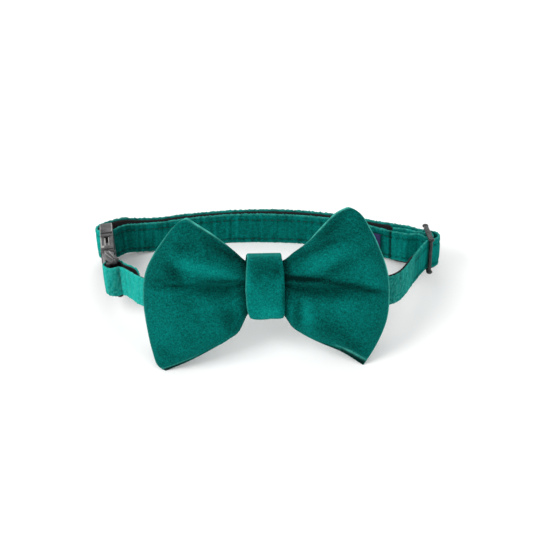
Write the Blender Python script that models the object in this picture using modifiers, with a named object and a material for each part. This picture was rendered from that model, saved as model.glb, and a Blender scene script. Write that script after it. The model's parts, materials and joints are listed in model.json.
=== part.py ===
"""Pet bow tie collar, in metres with +Z up, lying on a table as it lies in the photograph.

A velvet bow is held by a knot band on a velvet-faced strap. The strap runs once round the neck with
a doubled back, from a side-release buckle on the left to a slider on the right. The loop frame has
x to the right, y to the back and z along the width of the strap; the stand empty tilts it so that
the strap's rear edge and the bow's two lower tips touch the table.
"""
import math

import bmesh
import bpy
import numpy as np
from mathutils import Matrix
from mathutils import Vector

MM = 0.001
GAP = 0.25 * MM              # space left between pieces that touch on the real collar
JOIN = 1.0 * MM              # how deep joined shapes reach into each other, and cutters past a face
MERGE = 0.005 * MM
ROD_SIDES = 14

# strap: velvet sewn on webbing along both edges, one body
STRAP_WIDTH = 12.0 * MM
STRAP_THICK = 1.4 * MM
STRAP_ROUND = 0.3 * MM       # rounding of its edges
LOOP_HALF_WIDTH = 64.0 * MM  # the plan tables below hold shares of these two
LOOP_HALF_DEPTH = 28.0 * MM
SPAN_STEP = 3.6 * MM         # most distance between the strap's sections on its open runs
ARC_STEP = math.radians(22)
KNOT_BLEND = (0.70, 0.20)    # shares of the half width between which the front rises to the knot
REAR_BLEND = (0.82, 0.60)    # and the rear settles on the table
HARDWARE_BLEND = (0.76, 0.86)  # and the strap comes into the plane of the buckle or the slider
BUCKLE_TWIST = (0.69, 0.84)  # and turns its width to the buckle's lean
SLIDER_TWIST = (0.66, 0.82)
REST_TILT = math.radians(12)  # of the loop on the table, which the rear passes settle to

# side-release buckle, in its own frame: x to its front end, y inwards, z along its width
BUCKLE_BARS = 25.6 * MM      # between the two strap bars
BUCKLE_BAR = 1.8 * MM
BUCKLE_THICK = 4.9 * MM
BUCKLE_WALL = 1.05 * MM
BUCKLE_CHEEK = 1.5 * MM      # side walls that hold the bars
BUCKLE_END = 0.3 * MM        # how far its ends stand past the bars
BUCKLE_PLACE = (-0.931, 0.571)  # rear bar, as shares of the loop's half width and half depth
STRAP_PLAY = 0.3 * MM        # each side of the strap in its slots
SOCKET_LENGTH = 20.2 * MM
SOCKET_THROAT = 13.4 * MM    # depth of the plug's hollow
WINDOW_START = 1.5 * MM      # from the throat's end to the windows of the narrow sides
WINDOW_LENGTH = 5.9 * MM
WINDOW_SHARE = 0.7           # of the throat's thickness
PLUG_STEP = 0.2 * MM         # how much lower its faces are than the socket's
PRONG_WIDTH = 1.9 * MM
PRONG_SHORT = 1.8 * MM       # from a prong's tip to the throat's end
TONGUE_WIDTH = 2.6 * MM
TONGUE_SHORT = 3.0 * MM
BUTTON_REACH = 0.45 * MM     # how far a button reaches past the plug's front
BUTTON_THICK = 4.2 * MM
BUTTON_STAND = 1.2 * MM      # how far a button stands out of its narrow side
BUCKLE_ROUNDING = 0.6 * MM
BUCKLE_TURN = math.radians(-87.5)
BUCKLE_LEAN = math.radians(6.5)

# slider, in its own frame: x from near bar to far bar, y inwards, z along its width
SLIDER_BAR = 1.4 * MM
SLIDER_RAIL = 1.0 * MM
SLIDER_THICK = 1.9 * MM
SLIDER_ROUNDING = 0.35 * MM
SLIDER_SLACK = 0.1 * MM      # room for the strap's bulge beside the middle bar
BULGE_SWELL = 1.2            # how far the strap stands out there, over a round turn
SLIDER_PLACE = (0.926, 0.429)  # middle bar, as shares of the loop's half width and half depth
SLIDER_TURN = math.radians(101)
SLIDER_LEAN = math.radians(3)

# bow, in its own frame: x to the right, y to the back, z up in its plane
WING_REACH = 46.0 * MM
WING_RISE = 30.0 * MM
WING_WALL = 1.3 * MM
FRONT_PUFF = 8.0 * MM
BACK_PUFF = 3.4 * MM
PINCH_DEPTH = 8.0 * MM       # front to back under the band
PINCH_HEIGHT = 20.4 * MM
TIP_CURL = 2.0 * MM          # how far the lower tips bend forward
BOW_LEAN = math.radians(18)
BOW_YAW = math.radians(2.2)
BOW_ROLL = math.radians(0.14)  # lets both lower tips touch the table
KNOT_PLACE = (-0.0188, -0.9857)  # shares of the loop's half width and half depth
KNOT_HEIGHT = 13.9 * MM

# knot band round the pinched middle of the bow and the strap behind it
BAND_THICK = 1.4 * MM
BAND_EDGE = 0.3 * MM         # rounding of its edges
BAND_CELL = 3.0 * MM
BAND_TOP_WIDTH = 14.2 * MM
BAND_BOTTOM_WIDTH = 12.8 * MM
BAND_FRONT_ROUND = 3.4 * MM
BAND_BACK_ROUND = 1.0 * MM
STRAP_DROP = 4.6 * MM        # strap's centre below the middle of the bow
BAND_DROP = 1.2 * MM         # middle of the band below the middle of the bow
KNOT_RUN = 0.9 * BAND_TOP_WIDTH  # half of the strap's straight run behind the band

# bare label on the inner face of the rear strap
LABEL_WIDTH = 16.0 * MM
LABEL_HEIGHT = 8.0 * MM
LABEL_THICK = 0.8 * MM
LABEL_RIGHT = 0.656          # its right edge, as a share of the loop's half width
LABEL_CELLS = 6

# plan of the strap's open runs, x and y as shares of the loop's half width and half depth
TAIL_PASS = [(0.726, 0.690), (0.800, 0.582), (0.848, 0.510)]
INNER_PASS = [
    (0.812, 0.446), (0.764, 0.532), (0.716, 0.626), (0.660, 0.730), (0.580, 0.820),
    (0.430, 0.920), (0.230, 0.998), (0.000, 1.035), (-0.180, 1.030), (-0.360, 0.990),
    (-0.540, 0.918), (-0.680, 0.835), (-0.790, 0.715), (-0.860, 0.618),
]
OUTER_PASS = [
    (-0.988, 0.615), (-0.985, 0.685), (-0.955, 0.750), (-0.890, 0.810), (-0.790, 0.872),
    (-0.680, 0.935), (-0.460, 1.035), (-0.230, 1.098), (0.000, 1.122), (0.230, 1.088),
    (0.460, 0.995), (0.580, 0.925), (0.690, 0.828), (0.770, 0.712), (0.830, 0.628),
]
FRONT_RIGHT = [
    (0.886, 0.120), (0.866, 0.005), (0.845, -0.115), (0.815, -0.290), (0.787, -0.440),
    (0.755, -0.565), (0.700, -0.675), (0.560, -0.765), (0.310, -0.815),
]

# plan of the runs at the buckle's front: shares of the way to its front bar, x from the loop's
# middle and y from the strap behind the knot
FRONT_LEFT = [
    (0.347, 0.073), (0.649, 0.120), (0.770, 0.250), (0.834, 0.473), (0.880, 0.670),
    (0.917, 0.783), (0.955, 0.804), (0.987, 0.779),
]
BUCKLE_TAIL = [
    (0.949, 1.176), (0.918, 1.082), (0.892, 0.898), (0.859, 0.736), (0.815, 0.547),
]

# the pinched middle of the bow under the band, as shares of wing rise and reach
PINCH_TOP = (PINCH_HEIGHT / 2 - BAND_DROP) / WING_RISE
PINCH_LOW = (-PINCH_HEIGHT / 2 - BAND_DROP) / WING_RISE
PINCH_SIDE_TOP = (BAND_TOP_WIDTH / 2 + GAP) / WING_REACH
PINCH_SIDE_LOW = (BAND_BOTTOM_WIDTH / 2 + GAP) / WING_REACH

# edges of the wings, x and z as shares of wing reach and rise: place, left x z, right x z
TOP_EDGE = [
    (0.00, 0.000, PINCH_TOP, 0.000, PINCH_TOP),
    (0.17, PINCH_SIDE_TOP, PINCH_TOP, PINCH_SIDE_TOP, PINCH_TOP),
    (0.24, 0.218, 0.385, 0.222, 0.380),
    (0.34, 0.293, 0.487, 0.315, 0.480),
    (0.52, 0.398, 0.618, 0.435, 0.672),
    (0.76, 0.533, 0.760, 0.572, 0.880),
    (1.00, 0.657, 0.863, 0.715, 0.980),
]
BOTTOM_EDGE = [
    (0.00, 0.000, PINCH_LOW, 0.000, PINCH_LOW),
    (0.17, PINCH_SIDE_LOW, PINCH_LOW, PINCH_SIDE_LOW, PINCH_LOW),
    (0.24, 0.200, -0.570, 0.205, -0.530),
    (0.34, 0.283, -0.675, 0.291, -0.628),
    (0.52, 0.424, -0.797, 0.428, -0.740),
    (0.76, 0.609, -0.940, 0.604, -0.857),
    (1.00, 0.804, -1.060, 0.783, -1.030),
]
OUTER_EDGE = [
    (-1.00, 0.804, -1.060, 0.783, -1.030),
    (-0.90, 0.861, -1.007, 0.833, -0.920),
    (-0.70, 0.913, -0.800, 0.904, -0.740),
    (-0.45, 0.954, -0.500, 0.974, -0.493),
    (-0.10, 0.980, -0.133, 1.000, -0.150),
    (0.20, 0.963, 0.153, 0.987, 0.133),
    (0.50, 0.891, 0.400, 0.928, 0.413),
    (0.80, 0.783, 0.640, 0.848, 0.680),
    (0.93, 0.722, 0.767, 0.774, 0.880),
    (1.00, 0.657, 0.863, 0.715, 0.980),
]

# folds of the front panels: side, start and end (along, across), half width, height over puff
FOLDS = [
    ("left", 0.10, 0.10, 0.98, -0.02, 0.11, -0.34),
    ("left", 0.20, 0.42, 0.85, 0.55, 0.14, -0.10),
    ("left", 0.18, -0.40, 0.90, -0.50, 0.16, -0.09),
    ("left", 0.20, 0.25, 0.60, 0.22, 0.10, 0.08),
    ("right", 0.10, 0.10, 0.98, -0.08, 0.11, -0.40),
    ("right", 0.20, 0.60, 0.80, 0.66, 0.12, -0.10),
    ("right", 0.20, 0.34, 0.75, 0.46, 0.10, 0.09),
    ("right", 0.18, -0.45, 0.85, -0.42, 0.15, -0.09),
]
WING_COLUMNS = 13            # of one wing panel, from the middle to its outer edge
WING_ROWS = 14               # from its lower to its upper edge
CELL_CROWDING = 1.25         # crowds the cells towards the pinched middle
SKIN_INSET = 0.90            # inner skin of the wings, as a share of the outline
PUFF_START = 0.12            # shares of a wing's length: the puff grows between the first two
PUFF_FULL = 0.55
RIM_POWER = 2.4              # how late a panel rounds off towards its rim, and how bluntly
RIM_BLUNT = 0.6
LEAST_PUFF = 0.12            # a fold never takes more of the puff than leaves this share
LEAST_DEPTH = 0.04 * MM


def smoothstep(low, high, value):
    """0 at low, 1 at high, eased between them."""
    share = min(1.0, max(0.0, (value - low) / (high - low)))
    return share * share * (3 - 2 * share)


def read_curve(rows, place, column):
    """Smooth curve through a table's rows, read at a value of its first column."""
    keys = [row[0] for row in rows]
    values = [row[column] for row in rows]
    slopes = np.gradient(values, keys)
    index = min(max(int(np.searchsorted(keys, place)) - 1, 0), len(keys) - 2)
    span = keys[index + 1] - keys[index]
    s1 = (place - keys[index]) / span
    s2 = s1 * s1
    s3 = s2 * s1
    return (values[index] * (2 * s3 - 3 * s2 + 1) + slopes[index] * span * (s3 - 2 * s2 + s1)
            + values[index + 1] * (3 * s2 - 2 * s3) + slopes[index + 1] * span * (s3 - s2))


def frame_matrix(origin, along, width):
    """Frame with x along a direction, z as near the width direction as it can be, y inwards."""
    x_axis = along.normalized()
    z_axis = (width - x_axis * width.dot(x_axis)).normalized()
    y_axis = z_axis.cross(x_axis)
    turn = Matrix((x_axis, y_axis, z_axis)).transposed()
    return Matrix.Translation(origin) @ turn.to_4x4()


def heading(angle):
    """Plan direction of an angle."""
    return Vector((math.cos(angle), math.sin(angle), 0))


# frames of the hardware and the bow, in the loop frame
MID_HEIGHT = STRAP_WIDTH / 2
BUCKLE_REAR = Vector((BUCKLE_PLACE[0] * LOOP_HALF_WIDTH, BUCKLE_PLACE[1] * LOOP_HALF_DEPTH,
                      MID_HEIGHT))
BUCKLE_FRAME = frame_matrix(BUCKLE_REAR, heading(BUCKLE_TURN), Vector((-math.tan(BUCKLE_LEAN), 0, 1)))
BUCKLE_ROUND = BUCKLE_BAR / 2 + GAP + STRAP_THICK / 2
BUCKLE_MOUTH = -BUCKLE_BAR / 2 - BUCKLE_END + SOCKET_LENGTH

WRAP_ROUND = SLIDER_BAR / 2 + GAP + STRAP_THICK / 2
BULGE_ROUND = WRAP_ROUND + STRAP_THICK + GAP
INNER_ROUND = BULGE_ROUND + STRAP_THICK + GAP
SLIDER_PITCH = WRAP_ROUND + BULGE_ROUND + SLIDER_SLACK
SLIDER_CENTRE = Vector((SLIDER_PLACE[0] * LOOP_HALF_WIDTH, SLIDER_PLACE[1] * LOOP_HALF_DEPTH,
                        MID_HEIGHT))
SLIDER_FRAME = frame_matrix(SLIDER_CENTRE, heading(SLIDER_TURN), Vector((math.tan(SLIDER_LEAN), 0, 1)))

KNOT = Vector((KNOT_PLACE[0] * LOOP_HALF_WIDTH, KNOT_PLACE[1] * LOOP_HALF_DEPTH, KNOT_HEIGHT))
BOW_FRAME = (Matrix.Translation(KNOT) @ Matrix.Rotation(BOW_YAW, 4, "Z")
             @ Matrix.Rotation(-BOW_LEAN, 4, "X") @ Matrix.Rotation(BOW_ROLL, 4, "Y"))
BEHIND_BOW = PINCH_DEPTH / 2 + GAP + STRAP_THICK / 2
KNOT_STRAP = BOW_FRAME @ Vector((0, BEHIND_BOW, -STRAP_DROP))
REAR_REACH = max(y for x, y in OUTER_PASS) * LOOP_HALF_DEPTH + STRAP_THICK / 2


def material(name, colour, roughness, metallic=0.0):
    """Plain finish of one piece."""
    made = bpy.data.materials.new(name)
    made.use_nodes = True
    shader = made.node_tree.nodes["Principled BSDF"]
    shader.inputs["Base Color"].default_value = (*colour, 1.0)
    shader.inputs["Roughness"].default_value = roughness
    shader.inputs["Metallic"].default_value = metallic
    return made


def clear_scene():
    """Start from an empty scene."""
    for thing in list(bpy.data.objects):
        bpy.data.objects.remove(thing, do_unlink=True)


def new_collection(name):
    """Collection linked to the scene."""
    made = bpy.data.collections.new(name)
    bpy.context.scene.collection.children.link(made)
    return made


def new_empty(name, parent, matrix):
    """Empty that carries a frame."""
    made = bpy.data.objects.new(name, None)
    collar.objects.link(made)
    made.parent = parent
    made.matrix_local = matrix
    made.empty_display_size = 0.01
    return made


def finish_piece(mesh_builder, name, parent, finish, collection=None):
    """Object from a bmesh, under a frame, with its material."""
    mesh = bpy.data.meshes.new(name)
    mesh_builder.to_mesh(mesh)
    mesh_builder.free()
    mesh.materials.append(finish)
    made = bpy.data.objects.new(name, mesh)
    (collection or collar).objects.link(made)
    made.parent = parent
    return made


def make_guide(thing):
    """Mark an object as a tool that shapes another one."""
    thing.hide_render = True
    thing.display_type = "WIRE"


def box(name, parent, low, high, finish, rounding=0.0, collection=None):
    """Box between two corners of its frame, with its edges rounded."""
    builder = bmesh.new()
    bmesh.ops.create_cube(builder, size=1.0)
    middle = (Vector(low) + Vector(high)) / 2
    size = Vector(high) - Vector(low)
    bmesh.ops.transform(builder, matrix=Matrix.LocRotScale(middle, None, size), verts=builder.verts)
    if rounding:
        bmesh.ops.bevel(builder, geom=builder.edges[:], offset=rounding, segments=2, profile=0.5,
                        affect="EDGES", material=-1)
    return finish_piece(builder, name, parent, finish, collection)


def rod(name, parent, centre, radius, length, finish, collection=None):
    """Round bar along its frame's z."""
    builder = bmesh.new()
    bmesh.ops.create_cone(builder, cap_ends=True, segments=ROD_SIDES, radius1=radius, radius2=radius,
                          depth=length)
    bmesh.ops.translate(builder, verts=builder.verts, vec=centre)
    return finish_piece(builder, name, parent, finish, collection)


def combine(target, tool, operation):
    """Boolean modifier that joins or cuts with another object."""
    make_guide(tool)
    step = target.modifiers.new(tool.name, "BOOLEAN")
    step.operation = operation
    step.solver = "EXACT"
    step.object = tool


def plan_arc(frame, centre_x, radius, start, end, swell=1.0):
    """Plan points of an arc round a bar at centre_x of a hardware frame; angles in degrees there.

    A swell over 1 makes it stand out from the hardware more than a round turn does.
    """
    turn = math.radians(end - start)
    count = max(2, math.ceil(abs(turn) / ARC_STEP))
    x_axis = frame.col[0].xyz
    y_axis = Vector((-x_axis.y, x_axis.x, 0))
    points = []
    for step in range(count + 1):
        angle = math.radians(start) + turn * step / count
        place = frame.translation + x_axis * (centre_x + radius * math.cos(angle))
        place = place + y_axis * (radius * swell * math.sin(angle))
        points.append(Vector((place.x, place.y)))
    return points


def plan_run(rows):
    """Plan points of an open run of the strap."""
    return [Vector((x * LOOP_HALF_WIDTH, y * LOOP_HALF_DEPTH)) for x, y in rows]


def buckle_run(rows):
    """Plan points of a run at the buckle's front, between the knot's strap and the front bar."""
    bar = BUCKLE_REAR + heading(BUCKLE_TURN) * BUCKLE_BARS
    return [Vector((x * bar.x, KNOT_STRAP.y + y * (bar.y - KNOT_STRAP.y))) for x, y in rows]


def smooth_run(points):
    """Centripetal curve through plan points, with sections at most SPAN_STEP apart."""
    out = []
    for index in range(len(points) - 1):
        p1 = points[index]
        p2 = points[index + 1]
        p0 = points[index - 1] if index else p1 * 2 - p2
        p3 = points[index + 2] if index + 2 < len(points) else p2 * 2 - p1
        t1 = math.sqrt((p1 - p0).length)
        t2 = t1 + math.sqrt((p2 - p1).length)
        t3 = t2 + math.sqrt((p3 - p2).length)
        pieces = max(1, math.ceil((p2 - p1).length / SPAN_STEP))
        for step in range(pieces):
            at = t1 + (t2 - t1) * step / pieces
            a1 = p0.lerp(p1, at / t1)
            a2 = p1.lerp(p2, (at - t1) / (t2 - t1))
            a3 = p2.lerp(p3, (at - t2) / (t3 - t2))
            b1 = a1.lerp(a2, at / t2)
            b2 = a2.lerp(a3, (at - t1) / (t3 - t1))
            out.append(b1.lerp(b2, (at - t1) / (t2 - t1)))
    out.append(points[-1])
    return out


def strap_route():
    """Plan centreline of the whole strap, from its sewn tail at the slider to its tail at the buckle."""
    knot = []
    for share in (1.0, 0.5, 0.0, -0.5, -1.0):
        back = BEHIND_BOW + 2 * GAP * share ** 2
        knot.append(BOW_FRAME @ Vector((share * KNOT_RUN, back, -STRAP_DROP)))
    points = plan_run(TAIL_PASS)
    points += plan_arc(SLIDER_FRAME, SLIDER_PITCH, BULGE_ROUND, 138, 178)
    points += plan_arc(SLIDER_FRAME, 0, WRAP_ROUND, -12, -205)
    points += plan_arc(SLIDER_FRAME, SLIDER_PITCH, INNER_ROUND, 150, 138)
    points += plan_run(INNER_PASS)
    points += plan_arc(BUCKLE_FRAME, 0, BUCKLE_ROUND, 25, -66)
    points += plan_run(OUTER_PASS)
    points += plan_arc(SLIDER_FRAME, SLIDER_PITCH, WRAP_ROUND, 138, 172)
    points += plan_arc(SLIDER_FRAME, 0, BULGE_ROUND, -8, -172, BULGE_SWELL)
    points += plan_arc(SLIDER_FRAME, -SLIDER_PITCH, WRAP_ROUND, 8, 57)
    points += plan_run(FRONT_RIGHT)
    points += [Vector((place.x, place.y)) for place in knot]
    points += buckle_run(FRONT_LEFT)
    points += plan_arc(BUCKLE_FRAME, BUCKLE_BARS, BUCKLE_ROUND, -55, -225)
    points += buckle_run(BUCKLE_TAIL)
    return smooth_run(points)


def plane_height(frame, x, y):
    """Height of a hardware frame's own x-y plane over a place in plan."""
    normal = frame.col[2]
    origin = frame.translation
    return origin.z - ((x - origin.x) * normal.x + (y - origin.y) * normal.y) / normal.z


def strap_height(x, y):
    """Height of the strap's middle line over the loop plane: raised at the knot, settled at the rear."""
    share_x = x / LOOP_HALF_WIDTH
    knot_share = smoothstep(*KNOT_BLEND, abs(share_x)) if y < 0 else 0.0
    rear_share = smoothstep(*REAR_BLEND, abs(share_x)) if y > 0 else 0.0
    height = MID_HEIGHT + (KNOT_STRAP.z - MID_HEIGHT) * knot_share
    height -= max(0.0, REAR_REACH - y) * math.tan(REST_TILT) * rear_share
    for frame, side in ((BUCKLE_FRAME, -1), (SLIDER_FRAME, 1)):
        share = smoothstep(*HARDWARE_BLEND, side * share_x)
        height += (plane_height(frame, x, y) - height) * share
    return height


def strap_axis(x, y):
    """Direction of the strap's width: upright, but along the buckle, the slider and the bow's back."""
    up = Vector((0, 0, 1))
    share_x = x / LOOP_HALF_WIDTH
    axis = up.lerp(BUCKLE_FRAME.col[2].xyz, smoothstep(*BUCKLE_TWIST, -share_x))
    axis = axis.lerp(SLIDER_FRAME.col[2].xyz, smoothstep(*SLIDER_TWIST, share_x))
    if y < 0:
        axis = axis.lerp(BOW_FRAME.col[2].xyz, smoothstep(*KNOT_BLEND, abs(share_x)))
    return axis.normalized()


def ribbon(route, width, offset):
    """Open surface of a ribbon that stands on its edge along a plan route, moved to its left."""
    builder = bmesh.new()
    count = len(route)
    bmesh.ops.create_grid(builder, x_segments=count - 1, y_segments=1, size=0.5)
    builder.verts.ensure_lookup_table()
    order = sorted(builder.verts, key=lambda vert: (round(vert.co.x, 6), vert.co.y))
    for index, place in enumerate(route):
        before = route[max(0, index - 1)]
        after = route[min(count - 1, index + 1)]
        along = Vector((*(after - before), 0)).normalized()
        axis = strap_axis(place.x, place.y)
        side = axis.cross(along).normalized()
        middle = Vector((place.x, place.y, strap_height(place.x, place.y)))
        middle = middle + side * offset
        order[2 * index].co = middle - axis * (width / 2)
        order[2 * index + 1].co = middle + axis * (width / 2)
    return builder


def thicken(thing, thickness, rounding):
    """Solid wall from an open surface, with its rim edges rounded."""
    shell = thing.modifiers.new("wall", "SOLIDIFY")
    shell.thickness = thickness
    shell.offset = 0.0
    shell.use_even_offset = True
    if rounding:
        edge = thing.modifiers.new("edges", "BEVEL")
        edge.width = rounding
        edge.segments = 1
        edge.limit_method = "ANGLE"
        edge.angle_limit = math.radians(60)


def make_strap():
    """Velvet strap with its webbing back, as one long ribbon."""
    finish = material("strap_velvet", (0.005, 0.14, 0.12), 0.85)
    strap = finish_piece(ribbon(strap_route(), STRAP_WIDTH, 0.0), "strap", stand, finish)
    thicken(strap, STRAP_THICK, STRAP_ROUND)
    return strap


def make_label():
    """Bare woven label on the inner face of the rear strap."""
    finish = material("label_navy", (0.012, 0.014, 0.05), 0.7)
    right = LABEL_RIGHT * LOOP_HALF_WIDTH
    inner = [place for place in smooth_run(plan_run(INNER_PASS))
             if right - LABEL_WIDTH - SPAN_STEP <= place.x <= right + SPAN_STEP]
    places = [right - LABEL_WIDTH * step / LABEL_CELLS for step in range(LABEL_CELLS + 1)]
    xs = [place.x for place in reversed(inner)]
    ys = [place.y for place in reversed(inner)]
    route = [Vector((x, float(np.interp(x, xs, ys)))) for x in places]
    lift = STRAP_THICK / 2 + GAP + LABEL_THICK / 2
    label = finish_piece(ribbon(route, LABEL_HEIGHT, lift), "label", stand, finish)
    thicken(label, LABEL_THICK, 0.0)
    return label


def wing_point(side, along, across):
    """Point of a wing's middle surface, from its three edges and the pinch line (Coons patch)."""
    column = 1 if side == "left" else 3
    sign = -1 if side == "left" else 1

    def edge(rows, place):
        return Vector((read_curve(rows, place, column), read_curve(rows, place, column + 1)))

    upper = (across + 1) / 2
    top = edge(TOP_EDGE, along)
    bottom = edge(BOTTOM_EDGE, along)
    outer = edge(OUTER_EDGE, across)
    pinch = edge(BOTTOM_EDGE, 0.0).lerp(edge(TOP_EDGE, 0.0), upper)
    corners = edge(BOTTOM_EDGE, 1.0).lerp(edge(TOP_EDGE, 1.0), upper)
    flat = bottom.lerp(top, upper) + pinch.lerp(outer, along) - pinch.lerp(corners, along)
    return Vector((sign * flat.x * WING_REACH, 0, flat.y * WING_RISE))


def fold_height(side, along, across):
    """Share of the front puff that the folds add or take away."""
    total = 0.0
    for name, along0, across0, along1, across1, width, height in FOLDS:
        if name != side:
            continue
        share = (along - along0) / (along1 - along0)
        fade = smoothstep(-0.12, 0.1, share) * smoothstep(1.05, 0.35, share)
        line = across0 + (across1 - across0) * min(1.0, max(0.0, share))
        spread = width * (0.7 + 0.8 * min(1.0, max(0.0, share)))
        total += height * fade * math.exp(-((across - line) / spread) ** 2)
    return total


def panel_depth(side, along, across, front):
    """Distance of a panel from the wing's middle surface."""
    grow = smoothstep(PUFF_START, PUFF_FULL, along)
    puff = FRONT_PUFF if front else BACK_PUFF
    depth = PINCH_DEPTH / 2 * (1 - grow) + puff * grow
    round_across = max(0.0, 1 - abs(across) ** RIM_POWER) ** RIM_BLUNT
    beyond = max(0.0, (along - PUFF_FULL) / (1 - PUFF_FULL))
    round_along = max(0.0, 1 - beyond ** RIM_POWER) ** RIM_BLUNT
    folds = fold_height(side, along, across) if front else 0.0
    return depth * max(LEAST_PUFF, 1 + folds) * round_across * round_along


def skin(builder, inset, wall):
    """Closed skin of both wings; an inset under 1 and a wall give the inner side of the cloth."""
    panels = {}
    for front in (True, False):
        made = bmesh.ops.create_grid(builder, x_segments=2 * WING_COLUMNS, y_segments=WING_ROWS,
                                     size=1.0)
        for vert in made["verts"]:
            side = "left" if vert.co.x < 0 else "right"
            at_rim = max(abs(vert.co.x), abs(vert.co.y)) > 0.999
            along = inset * math.sin(abs(vert.co.x) * math.pi / 2) ** CELL_CROWDING
            across = inset * math.sin(vert.co.y * math.pi / 2)
            depth = 0.0
            if not at_rim:
                depth = max(LEAST_DEPTH, panel_depth(side, along, across, front) - wall)
            place = wing_point(side, along, across)
            place.y = -TIP_CURL * along * smoothstep(-0.2, -1.0, across)
            place.y += -depth if front else depth
            vert.co = place
        panels[front] = made["verts"]
    back_middle = sorted(panels[False], key=lambda vert: vert.co.x ** 2 + vert.co.z ** 2)[0]
    bmesh.ops.delete(builder, geom=back_middle.link_faces[:], context="FACES")
    rim = panels[True] + [vert for vert in panels[False] if vert.is_valid]
    bmesh.ops.remove_doubles(builder, verts=rim, dist=MERGE)


def make_bow():
    """Bow sewn from two velvet panels, hollow, with a turning slit in the middle of its back."""
    finish = material("bow_velvet", (0.005, 0.15, 0.13), 0.85)
    builder = bmesh.new()
    skin(builder, 1.0, 0.0)
    skin(builder, SKIN_INSET, WING_WALL)
    rims = [edge for edge in builder.edges if edge.is_boundary]
    bmesh.ops.bridge_loops(builder, edges=rims)
    bmesh.ops.recalc_face_normals(builder, faces=builder.faces)
    return finish_piece(builder, "bow", bow_frame, finish)


def band_profile():
    """Closed profile of the band's middle line in the bow frame, as (y, z), from its back."""
    clear = GAP + BAND_THICK / 2
    front = -PINCH_DEPTH / 2 - clear
    back = PINCH_DEPTH / 2 + GAP + STRAP_THICK + clear
    top = PINCH_HEIGHT / 2 + clear
    corners = [
        (back, -top, BAND_BACK_ROUND + BAND_THICK / 2, 270),
        (back, top, BAND_BACK_ROUND + BAND_THICK / 2, 0),
        (front, top, BAND_FRONT_ROUND + BAND_THICK / 2, 90),
        (front, -top, BAND_FRONT_ROUND + BAND_THICK / 2, 180),
    ]
    points = []
    for y, z, radius, start in corners:
        centre_y = y - math.copysign(radius, y)
        centre_z = z - math.copysign(radius, z) - BAND_DROP
        for step in range(5):
            angle = math.radians(start + 90 * step / 4)
            points.append((centre_y + radius * math.cos(angle), centre_z + radius * math.sin(angle)))
    return points


def make_band():
    """Knot band, a strip of velvet wrapped round the bow and the strap and sewn shut."""
    finish = material("band_velvet", (0.005, 0.13, 0.11), 0.85)
    profile = band_profile()
    rows = []
    for index, (y, z) in enumerate(profile):
        rows.append((y, z))
        after_y, after_z = profile[(index + 1) % len(profile)]
        pieces = max(1, round(math.hypot(after_y - y, after_z - z) / BAND_CELL))
        for step in range(1, pieces):
            share = step / pieces
            rows.append((y + (after_y - y) * share, z + (after_z - z) * share))
    half_height = PINCH_HEIGHT / 2 + GAP + BAND_THICK
    builder = bmesh.new()
    bmesh.ops.create_grid(builder, x_segments=len(rows), y_segments=3, size=0.5)
    for vert in builder.verts:
        index = round((vert.co.x + 0.5) * len(rows)) % len(rows)
        y, z = rows[index]
        up = ((z + BAND_DROP) / half_height + 1) / 2
        width = BAND_BOTTOM_WIDTH + (BAND_TOP_WIDTH - BAND_BOTTOM_WIDTH) * up
        vert.co = Vector((vert.co.y * width, y, z))
    bmesh.ops.remove_doubles(builder, verts=builder.verts, dist=MERGE)
    bmesh.ops.recalc_face_normals(builder, faces=builder.faces)
    band = finish_piece(builder, "knot_band", bow_frame, finish)
    thicken(band, BAND_THICK, BAND_EDGE)
    return band


def make_socket():
    """Female half of the buckle: hollow body, windows in its narrow sides, strap bar at the rear."""
    finish = material("buckle_grey", (0.09, 0.09, 0.095), 0.45)
    half = STRAP_WIDTH / 2 + STRAP_PLAY
    side = half + BUCKLE_CHEEK
    rear = BUCKLE_MOUTH - SOCKET_LENGTH
    throat_end = BUCKLE_MOUTH - SOCKET_THROAT
    slot_end = BUCKLE_ROUND + STRAP_THICK / 2 + STRAP_PLAY
    thick = BUCKLE_THICK / 2
    bore = thick - BUCKLE_WALL
    body = box("buckle_socket", buckle_frame, (rear, -thick, -side), (BUCKLE_MOUTH, thick, side), finish,
               BUCKLE_ROUNDING)
    slot = box("cut_socket_slot", buckle_frame, (rear - JOIN, -thick - JOIN, -half),
               (slot_end, thick + JOIN, half), finish, collection=tools)
    throat = box("cut_socket_throat", buckle_frame, (throat_end, -bore, BUCKLE_WALL - side),
                 (BUCKLE_MOUTH + JOIN, bore, side - BUCKLE_WALL), finish, collection=tools)
    window_low = throat_end + WINDOW_START
    window = box("cut_socket_window", buckle_frame, (window_low, -bore * WINDOW_SHARE, -side - JOIN),
                 (window_low + WINDOW_LENGTH, bore * WINDOW_SHARE, side + JOIN), finish,
                 collection=tools)
    bar = rod("join_socket_bar", buckle_frame, (0, 0, 0), BUCKLE_BAR / 2, 2 * half + BUCKLE_CHEEK, finish,
              collection=tools)
    for cutter in (slot, throat, window):
        combine(body, cutter, "DIFFERENCE")
    combine(body, bar, "UNION")
    return body


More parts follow.
